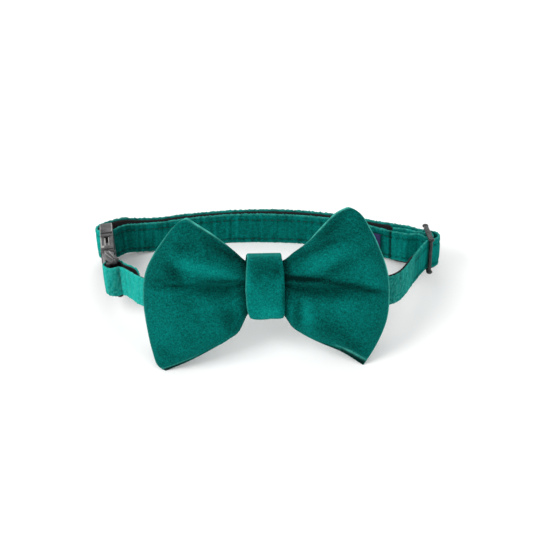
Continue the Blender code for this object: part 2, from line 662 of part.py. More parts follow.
def make_plug():
    """Male half of the buckle: bar and cheeks at the front, prongs with thumb buttons, tongue."""
    finish = material("plug_grey", (0.09, 0.09, 0.095), 0.45)
    half = STRAP_WIDTH / 2 + STRAP_PLAY
    side = half + BUCKLE_CHEEK
    bore = BUCKLE_THICK / 2 - BUCKLE_WALL - GAP
    start = BUCKLE_MOUTH + GAP
    slot_start = BUCKLE_BARS - BUCKLE_ROUND - STRAP_THICK / 2 - STRAP_PLAY
    front = BUCKLE_BARS + BUCKLE_BAR / 2 + BUCKLE_END
    thick = BUCKLE_THICK / 2 - PLUG_STEP
    throat_end = BUCKLE_MOUTH - SOCKET_THROAT
    body = box("buckle_plug", buckle_frame, (start, -thick, -side), (front, thick, side), finish,
               BUCKLE_ROUNDING)
    slot = box("cut_plug_slot", buckle_frame, (slot_start, -thick - JOIN, -half),
               (front + JOIN, thick + JOIN, half), finish, collection=tools)
    combine(body, slot, "DIFFERENCE")
    joined = [
        rod("join_plug_bar", buckle_frame, (BUCKLE_BARS, 0, 0), BUCKLE_BAR / 2, 2 * half + BUCKLE_CHEEK,
            finish, collection=tools),
        box("join_tongue", buckle_frame, (throat_end + TONGUE_SHORT, -bore, -TONGUE_WIDTH / 2),
            (start + JOIN, bore, TONGUE_WIDTH / 2), finish, collection=tools),
    ]
    outer = side - BUCKLE_WALL - GAP
    for sign, word in ((1, "upper"), (-1, "lower")):
        low = min(sign * outer, sign * (outer - PRONG_WIDTH))
        high = max(sign * outer, sign * (outer - PRONG_WIDTH))
        joined.append(box("join_prong_" + word, buckle_frame, (throat_end + PRONG_SHORT, -bore, low),
                          (start + JOIN, bore, high), finish, collection=tools))
        joined.append(thumb_button("join_button_" + word, start, front + BUTTON_REACH, sign * side,
                                   finish))
    for piece in joined:
        combine(body, piece, "UNION")
    return body


def thumb_button(name, start, end, level, finish):
    """Rounded button on a narrow side of the plug, from the socket's mouth to the plug's front."""
    builder = bmesh.new()
    bmesh.ops.create_uvsphere(builder, u_segments=14, v_segments=8, radius=0.5)
    size = Vector((end - start, BUTTON_THICK, 2 * BUTTON_STAND))
    middle = Vector(((start + end) / 2, 0, level))
    bmesh.ops.transform(builder, matrix=Matrix.LocRotScale(middle, None, size), verts=builder.verts)
    return finish_piece(builder, name, buckle_frame, finish, tools)


def make_slider():
    """Three-bar slider of black plastic."""
    finish = material("slider_black", (0.02, 0.025, 0.025), 0.5)
    half = STRAP_WIDTH / 2 + STRAP_PLAY
    reach = SLIDER_PITCH + SLIDER_BAR / 2
    thick = SLIDER_THICK / 2
    body = box("slider", slider_frame, (-reach, -thick, half), (reach, thick, half + SLIDER_RAIL), finish,
               SLIDER_ROUNDING)
    for place, word in ((-SLIDER_PITCH, "near"), (0.0, "middle"), (SLIDER_PITCH, "far")):
        bar = rod("join_bar_" + word, slider_frame, (place, 0, 0), SLIDER_BAR / 2, 2 * half + SLIDER_RAIL,
                  finish, tools)
        combine(body, bar, "UNION")
    rail = box("join_lower_rail", slider_frame, (-reach, -thick, -half - SLIDER_RAIL),
               (reach, thick, -half), finish, SLIDER_ROUNDING, tools)
    combine(body, rail, "UNION")
    return body


def stand_on_table():
    """Tilt and place the collar so that its rear edge and front tips touch the ground at z = 0."""
    def corners():
        bpy.context.view_layer.update()
        graph = bpy.context.evaluated_depsgraph_get()
        places = []
        for thing in pieces:
            shape = thing.evaluated_get(graph)
            data = shape.to_mesh()
            flat = np.empty(3 * len(data.vertices), dtype=np.float32)
            data.vertices.foreach_get("co", flat)
            world = np.array(thing.matrix_world)
            places.append(flat.reshape(-1, 3) @ world[:3, :3].T + world[:3, 3])
            shape.to_mesh_clear()
        return np.concatenate(places)

    tilt = 0.0
    for attempt in range(3):
        stand.matrix_local = Matrix.Rotation(-tilt, 4, "X")
        cloud = corners()
        rear = cloud[cloud[:, 1] > 0]
        front = cloud[cloud[:, 1] < 0]
        low_rear = rear[rear[:, 2].argmin()]
        low_front = front[front[:, 2].argmin()]
        tilt += math.atan2(low_rear[2] - low_front[2], low_rear[1] - low_front[1])
    stand.matrix_local = Matrix.Rotation(-tilt, 4, "X")
    cloud = corners()
    low = cloud.min(axis=0)
    high = cloud.max(axis=0)
    shift = Vector((-(low[0] + high[0]) / 2, -(low[1] + high[1]) / 2, -low[2]))
    stand.matrix_local = Matrix.Translation(shift) @ Matrix.Rotation(-tilt, 4, "X")
    bpy.context.view_layer.update()


clear_scene()
collar = new_collection("pet_bow_tie_collar")
tools = new_collection("cutters")
stand = new_empty("stand", None, Matrix.Identity(4))
buckle_frame = new_empty("buckle_frame", stand, BUCKLE_FRAME)
slider_frame = new_empty("slider_frame", stand, SLIDER_FRAME)
bow_frame = new_empty("bow_frame", stand, BOW_FRAME)
pieces = [make_strap(), make_label(), make_bow(), make_band(), make_socket(), make_plug(), make_slider()]
for piece in pieces:
    piece.data.shade_smooth()
    piece.data.set_sharp_from_angle(angle=math.radians(40))
stand_on_table()
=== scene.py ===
"""Velvet pet bow tie collar, fastened and lying on a table: its looks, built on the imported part."""
import json
import math

import bmesh
import bpy
import numpy as np
from mathutils import Matrix
from mathutils import Vector
from mathutils import noise


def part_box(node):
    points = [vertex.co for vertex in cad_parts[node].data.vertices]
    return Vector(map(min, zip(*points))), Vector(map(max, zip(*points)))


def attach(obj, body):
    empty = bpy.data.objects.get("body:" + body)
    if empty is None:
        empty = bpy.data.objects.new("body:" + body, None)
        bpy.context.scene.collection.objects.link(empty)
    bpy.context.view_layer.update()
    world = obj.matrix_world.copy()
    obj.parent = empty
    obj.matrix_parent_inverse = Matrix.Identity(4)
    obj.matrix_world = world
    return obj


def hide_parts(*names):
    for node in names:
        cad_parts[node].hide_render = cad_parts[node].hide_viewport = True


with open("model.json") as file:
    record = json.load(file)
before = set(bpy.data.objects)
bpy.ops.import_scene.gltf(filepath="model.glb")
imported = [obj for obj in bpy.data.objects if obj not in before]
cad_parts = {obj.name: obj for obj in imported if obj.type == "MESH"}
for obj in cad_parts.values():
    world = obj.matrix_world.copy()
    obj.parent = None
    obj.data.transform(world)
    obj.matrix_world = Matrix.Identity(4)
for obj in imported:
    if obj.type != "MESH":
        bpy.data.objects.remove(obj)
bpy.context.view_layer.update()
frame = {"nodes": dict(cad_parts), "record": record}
MM = 0.001

# Camera: a long lens straight in front of the collar, 42 degrees above the table, so that the bow,
# which leans back on the strap, faces it almost squarely.
PHOTO_PIXELS = 533
PIXELS_PER_METRE = 2690.0
CAMERA_RISE = math.radians(42.06)
CAMERA_DISTANCE = 4.0
LOOK_AT = Vector((-0.0004, 0.0077, 0.01025))

camera_data = bpy.data.cameras.new("camera")
camera_data.sensor_width = 36.0
camera_data.lens = camera_data.sensor_width * CAMERA_DISTANCE * PIXELS_PER_METRE / PHOTO_PIXELS
camera = bpy.data.objects.new("camera", camera_data)
bpy.context.scene.collection.objects.link(camera)
away = Vector((0, -math.cos(CAMERA_RISE), math.sin(CAMERA_RISE)))
camera.location = LOOK_AT + away * CAMERA_DISTANCE
camera.rotation_euler = (math.pi / 2 - CAMERA_RISE, 0, 0)
bpy.context.scene.camera = camera
bpy.context.scene.view_settings.view_transform = "Standard"

# Bow: a pillow bow sewn from two velvet panels, right sides out, and gathered in the middle. A fold
# runs from the knot across each wing, and a pale line along the sewn edges is a painted highlight.
REST_TILT = math.atan2(*frame["record"]["mounts"][0]["axis"][1:])
BOW_LEAN = math.radians(18)
BOW_YAW = math.radians(2.2)
BOW_ROLL = math.radians(0.14)
PINCH_DEPTH = 8.0 * MM
PINCH_HEIGHT = 20.4 * MM
BAND_CLEAR = 0.25 * MM
BAND_THICK = 1.4 * MM
BAND_DROP = 1.2 * MM         # middle of the band below the middle of the bow
BAND_TOP_WIDTH = 14.2 * MM
BAND_BOTTOM_WIDTH = 12.8 * MM
WING_REACH = 46.0 * MM
WING_RISE = 30.0 * MM
FRONT_PUFF = 8.0 * MM
BACK_PUFF = 3.4 * MM
TIP_CURL = 2.0 * MM
PUFF_POWER = 2.4             # how late and how steeply the puff falls off to the sewn edges
PUFF_ROOT = 0.6
PUFF_END = 0.55              # where along a wing it starts to fall off to the outer edge
BACK_FOLDS = 0.35            # how much of the folds the back panels show
THINNEST = 0.12              # least share of the puff that a fold leaves
WING_COLUMNS = 44
WING_ROWS = 56
CORNER_ALONG = 0.09          # rounding of the wings' upper corners, as shares of their grid
CORNER_ACROSS = 0.16
SETTLE_SCALE = 10            # the cloth is simulated at ten times its size
SETTLE_SPARE = 0.03          # spare cloth, as a share of its width and height
SETTLE_PRESSURE = 4.0
SETTLE_FRAMES = 20
SETTLE_CAP = 1.2 * MM
SETTLE_SMOOTHING = 6
VIEW_SLANT = 0.21            # how far the camera sees a place rise for each bit that it lies back
WING_SHADE = 0.22            # painted shade: how much darker both wings are painted, and more their upper halves
UPPER_SHADE = 0.28
KNOT_SHADE = 0.7             # the same painted shade right beside the knot and near it
NEAR_KNOT_SHADE = 0.35
UNDER_SHADE = 2.6            # the same painted shade on the lower edge, which is turned under

# the pinched middle of the bow under the band, as shares of wing rise and reach
PINCH_TOP = (PINCH_HEIGHT / 2 - BAND_DROP) / WING_RISE
PINCH_LOW = (-PINCH_HEIGHT / 2 - BAND_DROP) / WING_RISE
PINCH_SIDE_TOP = (BAND_TOP_WIDTH / 2 + BAND_CLEAR) / WING_REACH
PINCH_SIDE_LOW = (BAND_BOTTOM_WIDTH / 2 + BAND_CLEAR) / WING_REACH

# edges of the wings, x and z as shares of wing reach and rise: place, left x z, right x z
TOP_EDGE = [
    (0.00, 0.000, PINCH_TOP, 0.000, PINCH_TOP),
    (0.17, PINCH_SIDE_TOP, PINCH_TOP, PINCH_SIDE_TOP, PINCH_TOP),
    (0.24, 0.218, 0.385, 0.222, 0.380),
    (0.34, 0.293, 0.487, 0.315, 0.480),
    (0.52, 0.398, 0.618, 0.435, 0.672),
    (0.76, 0.533, 0.760, 0.572, 0.880),
    (1.00, 0.657, 0.893, 0.715, 0.980),
]
BOTTOM_EDGE = [
    (0.00, 0.000, PINCH_LOW, 0.000, PINCH_LOW),
    (0.17, PINCH_SIDE_LOW, PINCH_LOW, PINCH_SIDE_LOW, PINCH_LOW),
    (0.24, 0.200, -0.570, 0.205, -0.530),
    (0.34, 0.283, -0.675, 0.291, -0.628),
    (0.52, 0.424, -0.797, 0.428, -0.740),
    (0.76, 0.609, -0.940, 0.604, -0.857),
    (1.00, 0.804, -1.060, 0.783, -1.030),
]
OUTER_EDGE = [
    (-1.00, 0.804, -1.060, 0.783, -1.030),
    (-0.90, 0.861, -1.007, 0.833, -0.920),
    (-0.70, 0.913, -0.800, 0.904, -0.740),
    (-0.45, 0.954, -0.500, 0.974, -0.493),
    (-0.10, 0.980, -0.133, 1.000, -0.150),
    (0.20, 0.963, 0.153, 0.987, 0.133),
    (0.50, 0.891, 0.400, 0.928, 0.413),
    (0.80, 0.783, 0.640, 0.848, 0.680),
    (0.93, 0.722, 0.767, 0.774, 0.880),
    (1.00, 0.657, 0.893, 0.715, 0.980),
]

# folds of the front panels: side, start and end (along, across), half width, height over puff
FOLDS = [
    ("left", 0.10, 0.17, 0.98, 0.06, 0.085, -0.42),
    ("left", 0.16, 0.62, 0.70, 0.66, 0.11, -0.16),
    ("left", 0.18, -0.40, 0.90, -0.50, 0.16, -0.09),
    ("left", 0.14, 0.38, 0.66, 0.33, 0.12, 0.10),
    ("left", 0.16, -0.62, 0.50, -0.72, 0.05, -0.12),
    ("left", 0.16, 0.84, 0.46, 0.84, 0.05, -0.10),
    ("left", 0.16, -0.14, 0.45, -0.26, 0.05, -0.12),
    ("right", 0.10, 0.16, 0.98, -0.14, 0.085, -0.50),
    ("right", 0.16, 0.66, 0.70, 0.60, 0.09, -0.14),
    ("right", 0.16, 0.40, 0.75, 0.44, 0.11, 0.12),
    ("right", 0.20, -0.45, 0.85, -0.42, 0.15, -0.09),
    ("right", 0.16, -0.66, 0.42, -0.74, 0.06, 0.14),
    ("right", 0.16, -0.34, 0.42, -0.44, 0.05, -0.16),
    ("right", 0.16, 0.86, 0.42, 0.88, 0.05, -0.10),
]

# patches of painted light and shade on the front's pile, the dark creases among them, as it faces the
# camera: x and z from the knot's middle, half length and half width in millimetres, turn in degrees, and
# how light or dark they are painted there
BOW_LIGHT_AND_SHADE = [
    (-20.0, 5.4, 12.0, 2.4, -14, 0.95), (-29.6, 7.4, 4.5, 2.2, -40, 0.60),
    (-13.0, 11.0, 9.0, 2.0, -24, -0.85), (-34.0, 4.6, 4.8, 2.4, -55, -0.90),
    (-40.0, 1.6, 4.5, 1.6, -10, -0.60), (-18.5, -2.4, 12.0, 3.0, -4, -0.70),
    (-29.0, -6.8, 4.0, 2.0, -30, -0.40), (-22.0, -9.2, 5.0, 2.6, 0, 0.35),
    (-11.0, -6.4, 3.6, 4.0, 0, 0.40), (-14.4, -12.6, 4.2, 2.2, -60, -0.50),
    (-37.0, -25.0, 3.0, 3.0, 0, -0.35), (-30.4, 14.0, 3.4, 2.2, 0, -0.45),
    (-20.0, 17.5, 7.0, 3.4, -35, -0.30), (-15.9, 1.3, 9.5, 0.7, -2, -0.90),
    (-35.0, -0.3, 8.0, 0.7, 3, -0.95), (-33.0, 1.0, 9.0, 0.6, 3, 0.35),
    (-38.0, -14.0, 4.0, 6.0, 0, 0.20), (21.0, 8.2, 14.0, 3.2, 24, 0.70),
    (19.5, 13.0, 10.0, 1.1, 24, -0.55), (24.0, 20.0, 6.5, 2.2, 48, -0.75),
    (37.5, 5.0, 5.5, 5.0, 0, 0.50), (40.5, -0.9, 3.2, 1.5, -12, 0.45),
    (25.5, 4.6, 6.0, 1.4, 32, -0.45), (20.5, -2.9, 14.0, 3.0, -5, -0.95),
    (15.4, -11.9, 6.0, 2.0, 90, 0.85), (8.8, -9.6, 4.6, 1.5, 90, 0.75),
    (12.1, -10.8, 4.0, 1.1, 90, -0.55), (24.3, -17.4, 6.5, 3.0, -25, -0.60),
    (32.0, -24.0, 6.0, 2.6, -35, -0.50), (31.0, -8.9, 6.0, 3.0, 0, 0.30),
    (13.0, 1.7, 8.5, 1.10, -4, -2.00), (30.0, -0.9, 9.5, 1.2, -12, -1.25),
    (39.0, -3.4, 5.0, 0.9, -10, -0.85),
]


def eased(low, high, value):
    """0 at low, 1 at high, eased between them, for numbers and arrays."""
    share = np.clip((value - low) / (high - low), 0.0, 1.0)
    return share * share * (3 - 2 * share)


def smooth_through(keys, values, at):
    """Smooth curve through values at their keys, read at other places."""
    keys = np.asarray(keys, float)
    values = np.asarray(values, float)
    slopes = np.gradient(values, keys, axis=0)
    index = np.clip(np.searchsorted(keys, at) - 1, 0, len(keys) - 2)
    span = keys[index + 1] - keys[index]
    s1 = (at - keys[index]) / span
    if values.ndim > 1:
        span = span[:, None]
        s1 = s1[:, None]
    s2 = s1 * s1
    s3 = s2 * s1
    return (values[index] * (2 * s3 - 3 * s2 + 1) + slopes[index] * span * (s3 - 2 * s2 + s1)
            + values[index + 1] * (3 * s2 - 2 * s3) + slopes[index + 1] * span * (s3 - s2))


def table_curve(rows, column, at):
    """Two neighbouring columns of a table, read as one smooth curve."""
    table = np.array(rows)
    return smooth_through(table[:, 0], table[:, column:column + 2], at)


def node(tree, kind, inputs=None, **settings):
    """Shader node with its settings, and its inputs set to values or linked to other nodes."""
    made = tree.nodes.new(kind)
    for name, value in settings.items():
        setattr(made, name, value)
    for name, value in (inputs or {}).items():
        if isinstance(value, bpy.types.NodeSocket):
            tree.links.new(value, made.inputs[name])
        else:
            made.inputs[name].default_value = value
    return made


def maths(tree, operation, first, second):
    """Sum, product or the like of two values or sockets."""
    return node(tree, "ShaderNodeMath", {0: first, 1: second}, operation=operation).outputs[0]


def noise_at(tree, place, scale, detail):
    """Noise texture of one scale and detail at a place."""
    made = node(tree, "ShaderNodeTexNoise", {"Vector": place, "Scale": scale, "Detail": detail})
    return made.outputs["Fac"]


def spread(tree, value, low, high):
    """0 at low, 1 at high and straight between them, for a socket."""
    made = node(tree, "ShaderNodeMapRange", {"Value": value, "From Min": low, "From Max": high})
    return made.outputs[0]


def blended(tree, share, first, second):
    """Colour between two others."""
    made = node(tree, "ShaderNodeMix", {0: share, 6: first, 7: second}, data_type="RGBA")
    return made.outputs[2]


def weighted(tree, value, weight, more):
    """A value times its weight, plus more."""
    return maths(tree, "ADD", maths(tree, "MULTIPLY", value, weight), more)


def open_group(name, inputs):
    """Shader node group with its sockets; returns it with its input node and the object's own places."""
    tree = bpy.data.node_groups.new(name, "ShaderNodeTree")
    for socket, kind, value in inputs:
        made = tree.interface.new_socket(socket, in_out="INPUT", socket_type="NodeSocket" + kind)
        made.default_value = value
    for socket, kind in (("Color", "Color"), ("Roughness", "Float"), ("Height", "Float")):
        tree.interface.new_socket(socket, in_out="OUTPUT", socket_type="NodeSocket" + kind)
    place = node(tree, "ShaderNodeTexCoord").outputs["Object"]
    return tree, tree.nodes.new("NodeGroupInput"), place


def close_group(tree, colour, rough, height):
    """Gives a group what it puts out."""
    node(tree, "NodeGroupOutput", {"Color": colour, "Roughness": rough, "Height": height})
    return tree


def velvet_group():
    """Cotton pile: fine grain, with painted light and shade in patches, painted shade near black in
    creases, pale where lit, and a painted highlight on rims.
    """
    tree, given, place = open_group("velvet_pile", [
        ("Shadow", "Color", (0.0, 0.01, 0.01, 1)), ("Deep", "Color", (0.0, 0.06, 0.05, 1)),
        ("Face", "Color", (0.0, 0.17, 0.15, 1)), ("Open", "Color", (0.01, 0.3, 0.28, 1)),
        ("Highlight", "Color", (0.1, 0.5, 0.4, 1)), ("Light And Shade", "Float", 0.0), ("Rim Highlight", "Float", 0.0),
    ])
    cloud = noise_at(tree, place, 160.0, 3.0)
    grain = noise_at(tree, place, 2000.0, 2.0)
    turned = node(tree, "ShaderNodeMapping", {"Vector": place, "Rotation": (0.0, 0.5, 0.0),
                                              "Scale": (0.55, 1.0, 1.0)}).outputs[0]
    lay = noise_at(tree, turned, 1300.0, 3.0)
    tone = weighted(tree, grain, 2.0, maths(tree, "MULTIPLY", lay, 1.1))
    tone = maths(tree, "SUBTRACT", weighted(tree, cloud, 0.5, tone), 1.3)
    # painted light and shade from the piece's mask moves the tone
    tone = weighted(tree, given.outputs["Light And Shade"], 0.8, tone)
    pile = blended(tree, spread(tree, tone, 0.0, 1.0), given.outputs["Deep"], given.outputs["Face"])
    pile = blended(tree, spread(tree, tone, 1.0, 2.0), pile, given.outputs["Open"])
    pile = blended(tree, spread(tree, tone, 0.0, -1.0), pile, given.outputs["Shadow"])
    # painted highlight along the piece's rims
    highlight_share = maths(tree, "MULTIPLY", given.outputs["Rim Highlight"], maths(tree, "ADD", grain, 0.4))
    return close_group(tree, blended(tree, highlight_share, pile, given.outputs["Highlight"]),
                       weighted(tree, lay, 0.2, 0.72), weighted(tree, lay, 0.6, grain))


def surface_material(name, group, inputs, sheen=0.0, tint=(1, 1, 1), bump=0.2, depth=0.0002, specular=0.5,
                     masks=()):
    """Principled finish whose colour, roughness and relief come from a group."""
    made = bpy.data.materials.new(name)
    made.use_nodes = True
    tree = made.node_tree
    shader = tree.nodes["Principled BSDF"]
    looks = node(tree, "ShaderNodeGroup", node_tree=group)
    for socket, value in inputs.items():
        looks.inputs[socket].default_value = value
    for socket, attribute in masks:
        read = node(tree, "ShaderNodeAttribute", attribute_name=attribute)
        tree.links.new(read.outputs["Fac"], looks.inputs[socket])
    tree.links.new(looks.outputs["Color"], shader.inputs["Base Color"])
    tree.links.new(looks.outputs["Roughness"], shader.inputs["Roughness"])
    relief = node(tree, "ShaderNodeBump", {"Height": looks.outputs["Height"], "Strength": bump,
                                           "Distance": depth})
    tree.links.new(relief.outputs["Normal"], shader.inputs["Normal"])
    shader.inputs["Sheen Weight"].default_value = sheen
    shader.inputs["Sheen Roughness"].default_value = 0.4
    shader.inputs["Sheen Tint"].default_value = (*tint, 1)
    shader.inputs["Specular IOR Level"].default_value = specular
    return made


def piece(builder, name, finish, replaced=()):
    """Finished object from a bmesh, nowhere under the table, riding on the part's one body."""
    for vert in builder.verts:
        vert.co.z = max(vert.co.z, 0.01 * MM)
    mesh = bpy.data.meshes.new(name)
    builder.to_mesh(mesh)
    builder.free()
    mesh.materials.append(finish)
    mesh.shade_smooth()
    made = bpy.data.objects.new(name, mesh)
    bpy.context.scene.collection.objects.link(made)
    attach(made, "root")
    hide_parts(*replaced)
    return made


def laid_grid(builder, columns, rows):
    """Grid to be laid into place: its vertices with their column and row numbers."""
    made = bmesh.ops.create_grid(builder, x_segments=columns, y_segments=rows, size=1.0)
    verts = made["verts"]
    column = [round((vert.co.x + 1) / 2 * columns) for vert in verts]
    row = [round((vert.co.y + 1) / 2 * rows) for vert in verts]
    return verts, np.array(column), np.array(row)


def velvet_builder():
    """Empty bmesh with the two masks that the velvet reads: painted highlight, and painted light and
    shade.
    """
    made = bmesh.new()
    made.verts.layers.float.new("rim_highlight")
    made.verts.layers.float.new("light_and_shade")
    return made


def paint(mesh_builder, name, verts, values):
    """Values of one mask on the vertices of a bmesh."""
    layer = mesh_builder.verts.layers.float[name]
    for vert, value in zip(verts, values):
        vert[layer] = float(value)


def local_extent(name, turn):
    """Lowest and highest corner of a CAD node in a turned frame."""
    flat = np.empty(3 * len(frame["nodes"][name].data.vertices))
    frame["nodes"][name].data.vertices.foreach_get("co", flat)
    turned = flat.reshape(-1, 3) @ np.array(turn)[:3, :3]
    return turned.min(axis=0), turned.max(axis=0)


def wing_surface(side, along, across):
    """Middle surface of a wing from its three edges and the pinch line, as x and z in the bow frame."""
    column = 1 if side == "left" else 3
    upper = ((across + 1) / 2)[:, None]
    reach = along[:, None]
    top = table_curve(TOP_EDGE, column, along)
    bottom = table_curve(BOTTOM_EDGE, column, along)
    outer = table_curve(OUTER_EDGE, column, across)
    low_end = table_curve(BOTTOM_EDGE, column, np.array([1.0]))
    high_end = table_curve(TOP_EDGE, column, np.array([1.0]))
    corners = low_end * (1 - upper) + high_end * upper
    flat = bottom * (1 - upper) + top * upper + (outer - corners) * reach
    return flat * (WING_REACH, WING_RISE)


def rounded_corner(along, across):
    """Places on a wing with its upper corner rounded, as a turned-out corner of cloth is."""
    p = np.clip((along - 1 + CORNER_ALONG) / CORNER_ALONG, 0, 1)
    q = np.clip((across - 1 + CORNER_ACROSS) / CORNER_ACROSS, 0, 1)
    return (along + CORNER_ALONG * p * (np.sqrt(1 - q * q / 2) - 1),
            across + CORNER_ACROSS * q * (np.sqrt(1 - p * p / 2) - 1))


def fold_relief(side, along, across):
    """Share of the front puff that the folds add or take away."""
    total = np.zeros(len(along))
    for name, along0, across0, along1, across1, width, height in FOLDS:
        if name == side:
            share = (along - along0) / (along1 - along0)
            fade = eased(-0.12, 0.1, share) * (1 - eased(0.35, 1.05, share))
            held = np.clip(share, 0, 1)
            beside = across - across0 - (across1 - across0) * held
            spread = width * (0.7 + 0.8 * held) * np.where(beside > 0, 0.65, 1.25)
            total += height * fade * np.exp(-(beside / spread) ** 2)
    return total


def light_and_shade_tone(x, z, patches):
    """Sum of the patches of painted light and shade at places in millimetres."""
    total = np.zeros(len(x))
    for centre_x, centre_z, long, wide, turn, tone in patches:
        angle = math.radians(turn)
        along = (x - centre_x) * math.cos(angle) + (z - centre_z) * math.sin(angle)
        beside = (z - centre_z) * math.cos(angle) - (x - centre_x) * math.sin(angle)
        total += tone * np.exp(-(along / long) ** 2 - (beside / wide) ** 2)
    return total


velvet = velvet_group()
# colours of the pile, with the shadow, lit and highlight colours of its painted light and shade
VELVET = {"Shadow": (0.0001, 0.010, 0.0085, 1), "Deep": (0.0003, 0.064, 0.055, 1),
          "Face": (0.0009, 0.165, 0.143, 1), "Open": (0.0060, 0.330, 0.280, 1),
          "Highlight": (0.0900, 0.520, 0.430, 1)}
MASKS = (("Light And Shade", "light_and_shade"), ("Rim Highlight", "rim_highlight"))
SHEEN_TINT = (0.01, 0.60, 0.50)


def velvet_finish(name, bump):
    """Velvet of one piece, which reads the piece's two masks."""
    return surface_material(name, velvet, VELVET, sheen=0.25, tint=SHEEN_TINT, bump=bump, specular=0.02,
                            masks=MASKS)


bow_velvet = velvet_finish("bow_velvet", 0.5)

bow_turn = (Matrix.Rotation(-REST_TILT, 4, "X") @ Matrix.Rotation(BOW_YAW, 4, "Z")
            @ Matrix.Rotation(-BOW_LEAN, 4, "X") @ Matrix.Rotation(BOW_ROLL, 4, "Y"))
band_low, band_high = local_extent("knot_band", bow_turn)
knot_middle = bow_turn @ Vector(((band_low[0] + band_high[0]) / 2,
                                 band_low[1] + PINCH_DEPTH / 2 + BAND_CLEAR + BAND_THICK,
                                 (band_low[2] + band_high[2]) / 2 + BAND_DROP))
BOW_FRAME = Matrix.Translation(knot_middle) @ bow_turn


def settle(made):
    """Cloth simulation of both panels, blown up and held at their edges, applied to the mesh."""
    mesh = made.data
    count = len(mesh.vertices)
    before = np.empty(3 * count)
    mesh.vertices.foreach_get("co", before)
    held = np.empty(count)
    mesh.attributes["held"].data.foreach_get("value", held)
    large = mesh.copy()
    large.vertices.foreach_set("co", before * SETTLE_SCALE)
    trial = bpy.data.objects.new("bow_trial", large)
    bpy.context.scene.collection.objects.link(trial)
    group = trial.vertex_groups.new(name="held")
    for index in np.flatnonzero(held > 0.01):
        group.add([int(index)], float(held[index]), "REPLACE")
    cloth = trial.modifiers.new("cloth", "CLOTH")
    cloth.settings.quality = 5
    cloth.settings.vertex_group_mass = "held"
    cloth.settings.bending_stiffness = 1.5
    cloth.settings.shrink_min = -SETTLE_SPARE
    cloth.settings.use_pressure = True
    cloth.settings.uniform_pressure_force = SETTLE_PRESSURE
    cloth.settings.effector_weights.gravity = 0
    cloth.collision_settings.use_collision = False
    cloth.point_cache.frame_end = SETTLE_FRAMES
    for step in range(1, SETTLE_FRAMES + 1):
        bpy.context.scene.frame_set(step)
    after = np.empty(3 * count)
    trial.evaluated_get(bpy.context.evaluated_depsgraph_get()).data.vertices.foreach_get("co", after)
    move = (after / SETTLE_SCALE - before).reshape(-1, 3)
    bpy.data.objects.remove(trial)
    bpy.context.scene.frame_set(1)
    far = np.linalg.norm(move, axis=1)
    move *= (SETTLE_CAP * np.tanh(far / SETTLE_CAP) / np.maximum(far, 1e-9))[:, None]
    ends = np.empty(2 * len(mesh.edges), dtype=np.int32)
    mesh.edges.foreach_get("vertices", ends)
    ends = ends.reshape(-1, 2)
    near = np.bincount(ends.ravel(), minlength=count)
    for _ in range(SETTLE_SMOOTHING):
        total = np.zeros_like(move)
        np.add.at(total, ends[:, 0], move[ends[:, 1]])
        np.add.at(total, ends[:, 1], move[ends[:, 0]])
        move = (move + total / near[:, None]) / 2
    move *= (1 - held)[:, None]
    mesh.vertices.foreach_set("co", before + move.ravel())
    mesh.update()


